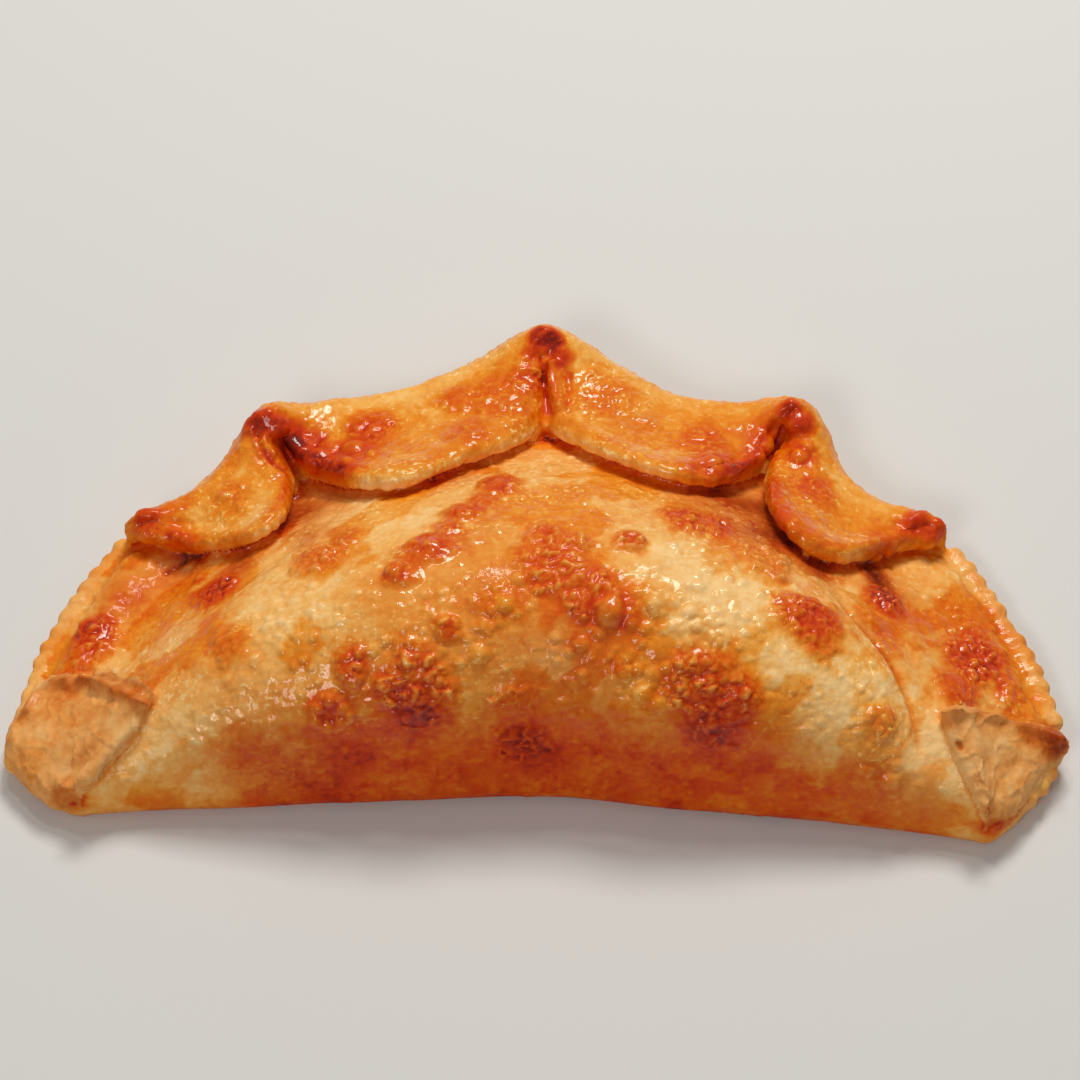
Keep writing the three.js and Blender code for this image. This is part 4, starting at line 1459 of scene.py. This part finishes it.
    def raise_domes(
        self,
        skin: Skin,
        tree: KDTree,
        allowed: np.ndarray,
        count: int,
        sizes: tuple[float, float],
        rise: float,
        bumps: np.ndarray,
    ) -> None:
        """Raises round blisters at random points.

        Args:
            skin: The skin that carries them.
            tree: The search tree of its points.
            allowed: The points where a blister may stand.
            count: How many to raise.
            sizes: The smallest and largest radius.
            rise: A blister's height as a share of its radius.
            bumps: The heights so far, which this raises.
        """
        if len(allowed) == 0 or count == 0:
            return
        middles = self.random.choice(allowed, size=count)
        radii = sizes[0] + (sizes[1] - sizes[0]) * self.random.random(count) ** 1.6
        for middle, radius in zip(middles, radii):
            for _, k, d in tree.find_range(skin.place[middle], radius):
                bumps[k] = max(bumps[k], rise * radius * (1.0 - (d / radius) ** 2))

    def bake(self, skin: Skin) -> None:
        """Works out the tone, the glaze and the floury matt parts from the relief and the parts.

        Args:
            skin: The finished skin, which gets its tone, glaze and flour.
        """
        p = skin.place
        rim, corner, lip = skin.of(Part.RIM) + skin.of(Part.KNOB), skin.of(Part.CORNER), skin.of(Part.LIP)
        low = smooth_step(0.80, 0.12, skin.slope) * smooth_step(26.0, 12.0, p[:, 2])
        front = low * smooth_step(72.0, 36.0, np.abs(p[:, 0]))
        pooled = smooth_step(-0.04, 0.14, POOLED_WASH.at(p))
        mottle, blotches = OVEN.mottle * MOTTLE.at(p), BLOTCHES.at(p)
        tone = self.body_tone(p, low, front, pooled) + mottle + OVEN.body_blotches * blotches
        tone = tone * (1.0 - rim) + rim * (self.lobe_tone(skin, blotches) + mottle)
        tone = tone * (1.0 - corner) + corner * self.corner_tone(p, blotches)
        tone = tone * (1.0 - lip) + lip * (OVEN.lip + OVEN.lip_blotches * blotches)
        under = smooth_step(0.1, -0.75, skin.slope) * smooth_step(3.5, 0.5, p[:, 2])
        tone += OVEN.underside * under + skin.tone
        target = skin.browned + OVEN.spot_blotches * blotches
        tone += np.maximum(target - tone, 0.0) * skin.brown_share
        # darker along the foot of the lobes and the flaps: juice, and painted contact shadow
        tone += self.juice_and_contact_shade(skin)
        # painted shade in the hollows of the relief and painted light on its tops
        painted_relief_shading = OVEN.painted_relief_shade + OVEN.painted_relief_shade_browned * smooth_step(0.30, 0.55, tone)
        tone -= np.clip(skin.grain, -0.14, 0.45) * painted_relief_shading * (1.0 - 0.5 * corner)
        skin.tone = np.clip(tone, 0.0, 1.0)
        bare = (1.0 - pooled) * (1.0 - rim) * (1.0 - 0.8 * skin.brown_share) * (1.0 - 0.8 * front)
        gilt = smooth_step(-0.1, 0.35, GILT.at(p))
        flour = corner * (1.0 - 0.4 * gilt) + 0.3 * lip + 0.3 * skin.crumb + 0.26 * bare
        skin.flour = np.clip(flour + skin.bare * (1.0 - rim), 0.0, 1.0)
        above = 1.0 - smooth_step(1.2, 0.2, p[:, 2])
        glaze = (1.0 - corner * (0.85 - 0.5 * gilt)) * (1.0 - 0.65 * lip) * above * (1.0 - 0.9 * low)
        glaze *= 0.45 + 0.50 * smooth_step(-0.5, 0.4, SHINE.at(p))
        glaze *= 1.0 - 0.45 * smooth_step(-60.0, -68.0, p[:, 0]) * (1.0 - rim)
        glaze *= (1.0 - 0.3 * skin.crumb) * (1.0 - 0.1 * bare)
        browned = 0.8 * (1.0 - low) * smooth_step(0.5, 0.75, skin.tone) * (1.0 - corner) * above
        skin.glaze = np.maximum(glaze, browned)

    def body_tone(
        self, place: np.ndarray, low: np.ndarray, front: np.ndarray, pooled: np.ndarray
    ) -> np.ndarray:
        """The body's tone: darker where egg wash pooled and on its low front, which has paler patches.

        Args:
            place: The places of the skin's points.
            low: 1 on the low steep sides.
            front: 1 on the middle of the low front.
            pooled: 1 where egg wash pooled.

        Returns:
            The tone, without the mottle and the blotches.
        """
        tone = OVEN.body + OVEN.streaks * STREAKS.at(place) + OVEN.low_side * low + OVEN.low_front * front
        tone += OVEN.pooled_wash * (pooled - 0.35) * (1.0 - 0.7 * front)
        tone -= OVEN.pale_patches * smooth_step(0.08, 0.20, PALE_PATCHES.at(place)) * front
        return tone + OVEN.dark_flecks * smooth_step(0.0, 0.12, DARK_FLECKS.at(place)) * low

    def lobe_tone(self, skin: Skin, blotches: np.ndarray) -> np.ndarray:
        """The lobes' tone: a pale ridge, partly a painted highlight, a pale nose, partly painted light, a
        browned band before the nose and a blotched face.

        Args:
            skin: The skin.
            blotches: The blotches at its points.

        Returns:
            The tone, without the mottle.
        """
        around = skin.around
        face = smooth_step(0.25, 0.34, around) * smooth_step(0.80, 0.70, around)
        ridge = bell((around - 0.215) / 0.06)
        nose = smooth_step(0.765, 0.82, around) * smooth_step(0.99, 0.94, around)
        band = bell((around - 0.715) / 0.045)
        left = smooth_step(-46.0, -54.0, skin.place[:, 0])
        tone = OVEN.lobe + (OVEN.lobe_blotches * blotches - OVEN.left_lobe * left) * face
        # paler ridge: partly a painted highlight; paler nose: partly painted light on the shaded nose
        tone -= OVEN.lobe_ridge * ridge * (1.0 - 1.8 * left)
        return tone - OVEN.lobe_nose * nose + OVEN.lobe_band * band

    def corner_tone(self, place: np.ndarray, blotches: np.ndarray) -> np.ndarray:
        """The uneven tone of the floury corner flaps.

        Args:
            place: The places of the skin's points.
            blotches: The blotches there.

        Returns:
            The tone.
        """
        tone = OVEN.corner + OVEN.corner_blotches * blotches
        tone += OVEN.corner_patches * CORNER_PATCHES.at(place)
        return tone + OVEN.corner_specks * CORNER_SPECKS.at(place)

    def juice_and_contact_shade(self, skin: Skin) -> np.ndarray:
        """The darker tone on the body along the foot of the lobes and of the flaps: partly juice that soaked
        in, partly painted contact shadow where they rest on it.

        Args:
            skin: The skin.

        Returns:
            The tone to add at each point.
        """
        added = np.zeros(len(skin.place))
        on_top = (skin.part == Part.BODY.value) & (skin.place[:, 2] > 4.0)
        uneven = 0.75 + 0.5 * JUICE.at(skin.place)
        open_side = skin.slope > -0.9
        rim = (skin.part == Part.RIM.value) & open_side & (skin.around > 0.8)
        corner = (skin.part == Part.CORNER.value) & open_side
        for edge, reach, strength in ((skin.place[rim], 2.6, 0.42), (skin.place[corner], 1.0, 0.22)):
            tree = search_tree(edge)
            low, high = edge.min(0) - 2.0 * reach, edge.max(0) + 2.0 * reach
            close = np.flatnonzero(on_top & ((skin.place > low) & (skin.place < high)).all(axis=1))
            away = np.array([tree.find(p)[2] for p in skin.place[close]])
            added[close] += strength * uneven[close] * smooth_step(reach, 0.3, away)
        return added

    def pieces(self, skin: Skin, faces: np.ndarray) -> list[bpy.types.Object]:
        """Cuts the skin along the foot of the folds into body, folded rim, corners, lips and underside.

        Args:
            skin: The finished skin.
            faces: Its faces.

        Returns:
            One object for each piece, in metres, with tone, glaze and flour on its points.
        """
        normal = point_normals(skin.place, faces)
        part = np.median(skin.part[faces], axis=1)
        rim = (part == Part.RIM.value) | (part == Part.KNOB.value)
        corner, lip = part == Part.CORNER.value, part == Part.LIP.value
        low = (part == Part.BODY.value) & (skin.slope[faces].mean(axis=1) < UNDERSIDE_SLOPE)
        groups = (
            ("baked_body", ~rim & ~corner & ~lip & ~low),
            ("folded_rim", rim),
            ("corner_folds", corner),
            ("fluted_lips", lip),
            ("underside", low),
        )
        made = []
        for name, mine in groups:
            used, index = np.unique(faces[mine], return_inverse=True)
            mesh = mesh_of(name, skin.place[used] * MM, index.reshape(-1, 4))
            for layer_name, values in (("tone", skin.tone), ("glaze", skin.glaze), ("flour", skin.flour)):
                layer = mesh.attributes.new(layer_name, "FLOAT", "POINT")
                layer.data.foreach_set("value", values[used].astype(np.float32))
            keep_normals(mesh, normal[used])
            self.flatten_underside(mesh)
            piece = bpy.data.objects.new(name, mesh)
            bpy.context.scene.collection.objects.link(piece)
            made.append(piece)
        return made

    def flatten_underside(self, mesh: bpy.types.Mesh) -> None:
        """Replaces the many small faces of the flat underside by a few large ones.

        Args:
            mesh: The mesh to change.
        """
        level = FLAT_LEVEL * MM
        work = bmesh.new()
        work.from_mesh(mesh)
        flat = [face for face in work.faces if all(v.co.z < level for v in face.verts)]
        known = set(flat)
        for v in {v for face in flat for v in face.verts if known.issuperset(v.link_faces)}:
            v.co.z = 0.0
        if flat:
            made = bmesh.ops.dissolve_faces(work, faces=flat, use_verts=False)["region"]
            bmesh.ops.triangulate(work, faces=made)
        work.to_mesh(mesh)
        work.free()


# ---------------------------------------------------------------- mesh helpers


def mesh_of(name: str, points: np.ndarray, faces: np.ndarray) -> bpy.types.Mesh:
    """A Blender mesh from arrays of points and of faces that all have the same number of corners.

    Args:
        name: The mesh's name.
        points: Points, one row each.
        faces: The points of each face, one row each.

    Returns:
        The mesh.
    """
    sides = faces.shape[1]
    mesh = bpy.data.meshes.new(name)
    mesh.vertices.add(len(points))
    mesh.vertices.foreach_set("co", np.ascontiguousarray(points, np.float32).ravel())
    mesh.loops.add(faces.size)
    mesh.loops.foreach_set("vertex_index", np.ascontiguousarray(faces, np.int32).ravel())
    mesh.polygons.add(len(faces))
    mesh.polygons.foreach_set("loop_start", np.arange(0, faces.size, sides, dtype=np.int32))
    mesh.update(calc_edges=True)
    mesh.validate()
    return mesh


def search_tree(places: np.ndarray) -> KDTree:
    """A tree that finds the nearest of some places.

    Args:
        places: The places, one row each.

    Returns:
        The tree, which gives a place by its row's number.
    """
    tree = KDTree(len(places))
    for k, place in enumerate(places):
        tree.insert(place, k)
    tree.balance()
    return tree


def keep_normals(mesh: bpy.types.Mesh, normal: np.ndarray) -> None:
    """Shades the mesh smoothly with the given normals at its points.

    Args:
        mesh: The mesh to change.
        normal: One normal for each point.
    """
    mesh.polygons.foreach_set("use_smooth", np.ones(len(mesh.polygons), bool))
    mesh.normals_split_custom_set_from_vertices(normal.tolist())
    mesh.update()


def point_normals(points: np.ndarray, quads: np.ndarray) -> np.ndarray:
    """Unit normals at the points of a mesh of four-sided faces.

    Args:
        points: Points, one row each.
        quads: The points of each face, one row each.

    Returns:
        One normal for each point.
    """
    a, b, c, d = (points[quads[:, k]] for k in range(4))
    face = np.cross(c - a, d - b)
    normal = np.zeros_like(points)
    for k in range(4):
        for axis in range(3):
            normal[:, axis] += np.bincount(quads[:, k], face[:, axis], len(points))
    return normal / np.maximum(np.linalg.norm(normal, axis=1), 1e-12)[:, None]


def edges_of(quads: np.ndarray) -> tuple[np.ndarray, np.ndarray]:
    """Both ends of every side of every face, in both directions.

    Args:
        quads: The points of each face, one row each.

    Returns:
        The starts and the ends.
    """
    a = np.concatenate([quads[:, k] for k in range(4)])
    b = np.concatenate([quads[:, (k + 1) % 4] for k in range(4)])
    return np.concatenate([a, b]), np.concatenate([b, a])


def relaxed(points: np.ndarray, quads: np.ndarray, rounds: int) -> np.ndarray:
    """The points moved part of the way to the mean of their neighbours, a few times over.

    Args:
        points: Points, one row each.
        quads: The points of each face, one row each.
        rounds: How many times.

    Returns:
        The moved points.
    """
    a, b = edges_of(quads)
    count = np.bincount(a, minlength=len(points))[:, None]
    for _ in range(rounds):
        mean = np.stack([np.bincount(a, points[b, axis], len(points)) for axis in range(3)], -1) / count
        points = points + 0.5 * (mean - points)
    return points


def smoothed(values: np.ndarray, quads: np.ndarray, rounds: int) -> np.ndarray:
    """A value on each point averaged with its neighbours, a few times over.

    Args:
        values: One value for each point.
        quads: The points of each face, one row each.
        rounds: How many times.

    Returns:
        The averaged values.
    """
    a, b = edges_of(quads)
    count = np.bincount(a, minlength=len(values))
    for _ in range(rounds):
        values = 0.5 * values + 0.5 * np.bincount(a, values[b], len(values)) / count
    return values


def largest_part(points: np.ndarray, quads: np.ndarray) -> tuple[np.ndarray, np.ndarray]:
    """The largest connected part of a mesh, with its points numbered afresh.

    Args:
        points: Points, one row each.
        quads: The points of each face, one row each.

    Returns:
        The part's points and faces.
    """
    a, b = edges_of(quads)
    label = np.arange(len(points))
    while True:
        low = label.copy()
        np.minimum.at(low, a, label[b])
        low = low[low]
        if np.array_equal(low, label):
            break
        label = low
    names, sizes = np.unique(label, return_counts=True)
    kept = label == names[np.argmax(sizes)]
    number = np.cumsum(kept) - 1
    return points[kept], number[quads[kept[quads[:, 0]]]]


# ---------------------------------------------------------------- finishes


class Graph:
    """A small helper that adds nodes to a material and joins them."""

    def __init__(self, material: bpy.types.Material) -> None:
        """Starts from an empty node tree."""
        material.use_nodes = True
        self.tree = material.node_tree
        self.tree.nodes.clear()

    def add(self, kind: str, **values: object) -> bpy.types.Node:
        """Adds a node and sets the given properties of it.

        Args:
            kind: The node's type.
            values: The properties by name.

        Returns:
            The node.
        """
        node = self.tree.nodes.new(kind)
        for key, value in values.items():
            setattr(node, key, value)
        return node

    def join(self, source: Socket, target: Socket) -> None:
        """Links an output to an input."""
        self.tree.links.new(source, target)

    def noise(self, scale: float, detail: float = 3.0, roughness: float = 0.55, kind: str = "FBM") -> Socket:
        """A noise texture on the object's own coordinates, in metres.

        Args:
            scale: Features a metre.
            detail: Finer layers.
            roughness: How strong they are.
            kind: The kind of noise.

        Returns:
            The noise's socket.
        """
        place = self.add("ShaderNodeTexCoord")
        texture = self.add("ShaderNodeTexNoise", noise_type=kind)
        texture.inputs["Scale"].default_value = scale
        texture.inputs["Detail"].default_value = detail
        texture.inputs["Roughness"].default_value = roughness
        self.join(place.outputs["Object"], texture.inputs["Vector"])
        return texture.outputs["Fac"]

    def flakes(self, scale: float) -> Socket:
        """A random number for each small flake of the film, on the object's own coordinates.

        Args:
            scale: Flakes a metre.

        Returns:
            The number's socket.
        """
        place = self.add("ShaderNodeTexCoord")
        bend = self.add("ShaderNodeTexNoise")
        bend.inputs["Scale"].default_value = scale
        mix = self.add("ShaderNodeVectorMath", operation="MULTIPLY_ADD")
        mix.inputs[1].default_value = (1.2 / scale,) * 3
        self.join(place.outputs["Object"], bend.inputs["Vector"])
        self.join(bend.outputs["Color"], mix.inputs[0])
        self.join(place.outputs["Object"], mix.inputs[2])
        texture = self.add("ShaderNodeTexVoronoi")
        texture.inputs["Scale"].default_value = scale
        self.join(mix.outputs["Vector"], texture.inputs["Vector"])
        return texture.outputs["Color"]

    def attribute(self, name: str) -> Socket:
        """A number that the mesh carries on its points."""
        node = self.add("ShaderNodeAttribute", attribute_name=name)
        return node.outputs["Fac"]

    def math(self, operation: str, first: object, second: object, clamp: bool = False) -> Socket:
        """The result of a sum or product of two numbers or sockets.

        Args:
            operation: ADD or MULTIPLY.
            first: A number or a socket.
            second: Another.
            clamp: Holds the result from 0 to 1.

        Returns:
            The result's socket.
        """
        node = self.add("ShaderNodeMath", operation=operation, use_clamp=clamp)
        for socket, value in zip(node.inputs, (first, second)):
            if isinstance(value, Socket):
                self.join(value, socket)
            else:
                socket.default_value = value
        return node.outputs[0]

    def bump(self, height: Socket, strength: float, distance: float) -> Socket:
        """A normal that is tilted by a height, in metres.

        Args:
            height: The height's socket.
            strength: The share of the tilt that is kept.
            distance: The height of 1, in metres.

        Returns:
            The normal's socket.
        """
        node = self.add("ShaderNodeBump")
        node.inputs["Strength"].default_value = strength
        node.inputs["Distance"].default_value = distance
        self.join(height, node.inputs["Height"])
        return node.outputs["Normal"]

    def spread(self, value: Socket, low: float, high: float, to: tuple[float, float]) -> Socket:
        """A value's range mapped on to another range, and held inside it.

        Args:
            value: The value's socket.
            low: Its lower end.
            high: Its upper end.
            to: What the two ends become.

        Returns:
            The result's socket.
        """
        node = self.add("ShaderNodeMapRange")
        self.join(value, node.inputs["Value"])
        for name, number in zip(("From Min", "From Max", "To Min", "To Max"), (low, high, *to)):
            node.inputs[name].default_value = number
        return node.outputs["Result"]

    def ramp(self, value: Socket, stops: Stops) -> Socket:
        """Colours along a value, given as 8-bit screen colours.

        Args:
            value: The value's socket.
            stops: Places from 0 to 1, each with its colour.

        Returns:
            The colour's socket.
        """
        node = self.add("ShaderNodeValToRGB")
        node.color_ramp.interpolation = "LINEAR"
        elements = node.color_ramp.elements
        while len(elements) < len(stops):
            elements.new(0.5)
        for element, (place, colour) in zip(elements, stops):
            element.position = place
            element.color = (*linear(colour), 1.0)
        self.join(value, node.inputs["Fac"])
        return node.outputs["Color"]

    def finish(self, surface: bpy.types.Node) -> None:
        """Makes a shader the material's surface."""
        output = self.add("ShaderNodeOutputMaterial")
        self.join(surface.outputs["BSDF"], output.inputs["Surface"])


def linear(colour: Colour) -> tuple[float, float, float]:
    """An 8-bit screen colour as linear light."""
    shares = (level / 255.0 for level in colour)
    return tuple(c / 12.92 if c <= 0.04045 else ((c + 0.055) / 1.055) ** 2.4 for c in shares)


@dataclass(frozen=True)
class BakedDough:
    """Egg-glazed pastry: pale where soft, orange to red-brown where it blistered, matt at the corners."""

    name: str = "baked_dough"
    glazed: Stops = (
        (0.00, (255, 212, 148)),
        (0.12, (248, 183, 90)),
        (0.26, (238, 146, 34)),
        (0.40, (228, 114, 4)),
        (0.55, (220, 84, 0)),
        (0.70, (204, 54, 0)),
        (0.85, (146, 26, 0)),
        (1.00, (74, 14, 12)),
    )
    matt: Stops = (
        (0.00, (248, 206, 140)),
        (0.30, (234, 162, 88)),
        (0.50, (208, 118, 44)),
        (0.70, (180, 76, 18)),
        (1.00, (104, 22, 6)),
    )
    gloss_roughness: float = 0.11
    gloss_ior: float = 1.45
    dough_roughness: float = 0.55
    dough_specular: float = 0.1

    def build(self) -> bpy.types.Material:
        """Makes the material."""
        material = bpy.data.materials.new(self.name)
        g = Graph(material)
        glaze = g.attribute("glaze")
        shade = self.shade(g, glaze)
        mix = g.add("ShaderNodeMix", data_type="RGBA")
        g.join(g.attribute("flour"), mix.inputs["Factor"])
        g.join(g.ramp(shade, self.glazed), mix.inputs["A"])
        g.join(g.ramp(shade, self.matt), mix.inputs["B"])
        surface = g.add("ShaderNodeBsdfPrincipled")
        g.join(mix.outputs["Result"], surface.inputs["Base Color"])
        uneven = (self.dough_roughness - 0.1, self.dough_roughness + 0.1)
        g.join(g.spread(g.noise(1500.0, 2.0), 0.35, 0.65, uneven), surface.inputs["Roughness"])
        patchy = g.spread(g.noise(480.0, 3.0, 0.6), 0.35, 0.6, (0.45, 1.0))
        g.join(g.math("MULTIPLY", glaze, patchy), surface.inputs["Coat Weight"])
        surface.inputs["Coat Roughness"].default_value = self.gloss_roughness
        surface.inputs["Coat IOR"].default_value = self.gloss_ior
        surface.inputs["Specular IOR Level"].default_value = self.dough_specular
        crinkle = g.math("MULTIPLY", g.noise(420.0, 3.0, 0.55, "RIDGED_MULTIFRACTAL"), 0.5)
        film = g.math("ADD", g.noise(700.0, 2.0, 0.5), crinkle)
        grain = g.math("ADD", film, g.math("MULTIPLY", g.noise(1300.0, 2.0, 0.6), 0.3))
        g.join(g.bump(grain, 0.4, 0.0005), surface.inputs["Normal"])
        g.join(g.bump(film, 0.28, 0.0004), surface.inputs["Coat Normal"])
        g.finish(surface)
        return material

    def shade(self, g: Graph, glaze: Socket) -> Socket:
        """The tone with the speckles, streaks and flakes of the baked film, pale flecks that are partly film
        and partly painted glints, and painted glints on the glaze.

        Args:
            g: The material's nodes.
            glaze: The glaze's socket.

        Returns:
            The shade's socket.
        """
        speckle = g.spread(g.noise(900.0, 4.0, 0.65), 0.3, 0.7, (-0.05, 0.05))
        streak = g.spread(g.noise(240.0, 3.0), 0.3, 0.7, (-0.05, 0.05))
        flakes = g.spread(g.flakes(560.0), 0.1, 0.9, (-0.035, 0.035))
        # pale flecks: partly crinkled film, partly painted glints
        film_flecks_and_glints = g.spread(g.noise(420.0, 5.0, 0.6, "RIDGED_MULTIFRACTAL"), 0.9, 1.6, (0.02, -0.10))
        detail = g.math("ADD", g.math("ADD", speckle, streak), g.math("ADD", flakes, film_flecks_and_glints))
        # painted glints: pale flecks in clusters where the glaze is, standing in for highlights
        glint_clusters = g.math("MULTIPLY", glaze, g.spread(g.noise(130.0, 3.0, 0.6), 0.42, 0.60, (0.1, 1.0)))
        painted_glints = g.math("MULTIPLY", glint_clusters, g.spread(g.noise(1100.0, 2.0, 0.5), 0.58, 0.66, (0.0, -0.26)))
        return g.math("ADD", g.math("ADD", g.attribute("tone"), detail), painted_glints, clamp=True)


@dataclass(frozen=True)
class StudioFloor:
    """A plain pale floor."""

    side: float = 3.0
    colour: Colour = (220, 221, 222)
    roughness: float = 0.8

    def build(self) -> bpy.types.Object:
        """Makes the floor."""
        half = self.side / 2.0
        corners = np.array([(-half, -half, 0), (half, -half, 0), (half, half, 0), (-half, half, 0)])
        mesh = mesh_of("studio_floor", corners, np.array([[0, 1, 2, 3]]))
        material = bpy.data.materials.new("studio_floor")
        g = Graph(material)
        surface = g.add("ShaderNodeBsdfPrincipled")
        surface.inputs["Base Color"].default_value = (*linear(self.colour), 1.0)
        surface.inputs["Roughness"].default_value = self.roughness
        g.finish(surface)
        mesh.materials.append(material)
        floor = bpy.data.objects.new("studio_floor", mesh)
        bpy.context.scene.collection.objects.link(floor)
        return floor


@dataclass(frozen=True)
class SoftBox:
    """One rectangular studio light that faces the middle of the crust."""

    name: str
    azimuth: float
    elevation: float
    distance: float
    size: tuple[float, float]
    power: float
    colour: tuple[float, float, float]

    def build(self) -> bpy.types.Object:
        """Makes the light; azimuth 0 is in front and 90 is to the right, seen from above."""
        data = bpy.data.lights.new(self.name, "AREA")
        data.shape = "RECTANGLE"
        data.size, data.size_y = self.size
        data.energy = self.power
        data.color = self.colour
        light = bpy.data.objects.new(self.name, data)
        turn, tilt = math.radians(self.azimuth), math.radians(self.elevation)
        flat = math.cos(tilt) * self.distance
        light.location = (flat * math.sin(turn), -flat * math.cos(turn), math.sin(tilt) * self.distance)
        light.rotation_euler = (-Vector(light.location)).to_track_quat("-Z", "Y").to_euler()
        bpy.context.scene.collection.objects.link(light)
        return light


@dataclass(frozen=True)
class Studio:
    """The plain floor, the soft lights and the even light all round."""

    floor: StudioFloor = StudioFloor()
    boxes: tuple[SoftBox, ...] = (
        SoftBox("key_light", 166.0, 56.0, 1.0, (0.30, 0.24), 6.1, (1.0, 0.96, 0.88)),
        SoftBox("sparkle_light", 196.0, 66.0, 1.0, (0.08, 0.08), 0.9, (1.0, 0.95, 0.86)),
        SoftBox("fill_light", -24.0, 44.0, 1.2, (0.34, 0.26), 3.0, (1.0, 0.95, 0.88)),
    )
    surround: float = 0.20
    surround_colour: tuple[float, float, float] = (1.0, 0.97, 0.92)

    def build(self) -> None:
        """Makes floor, lights and world."""
        self.floor.build()
        for box in self.boxes:
            box.build()
        world = bpy.data.worlds.new("studio_surround")
        world.use_nodes = True
        background = world.node_tree.nodes["Background"]
        background.inputs["Color"].default_value = (*self.surround_colour, 1.0)
        background.inputs["Strength"].default_value = self.surround
        bpy.context.scene.world = world
        bpy.context.scene.view_settings.view_transform = "Standard"


def main() -> None:
    """Builds the camera, the crust with its finish, and the studio."""
    logging.basicConfig(level=logging.INFO, format="%(name)s: %(message)s")
    camera = StudioCamera()
    camera.build()
    dough = BakedDough().build()
    for piece in CrustModel(camera).build():
        piece.data.materials.append(dough)
        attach(piece, "root")
        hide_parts("crust")
        log.info("%s: %d faces", piece.name, len(piece.data.polygons))
    Studio().build()
    log.info("studio: floor, lights and surround")


if __name__ == "__main__":
    main()
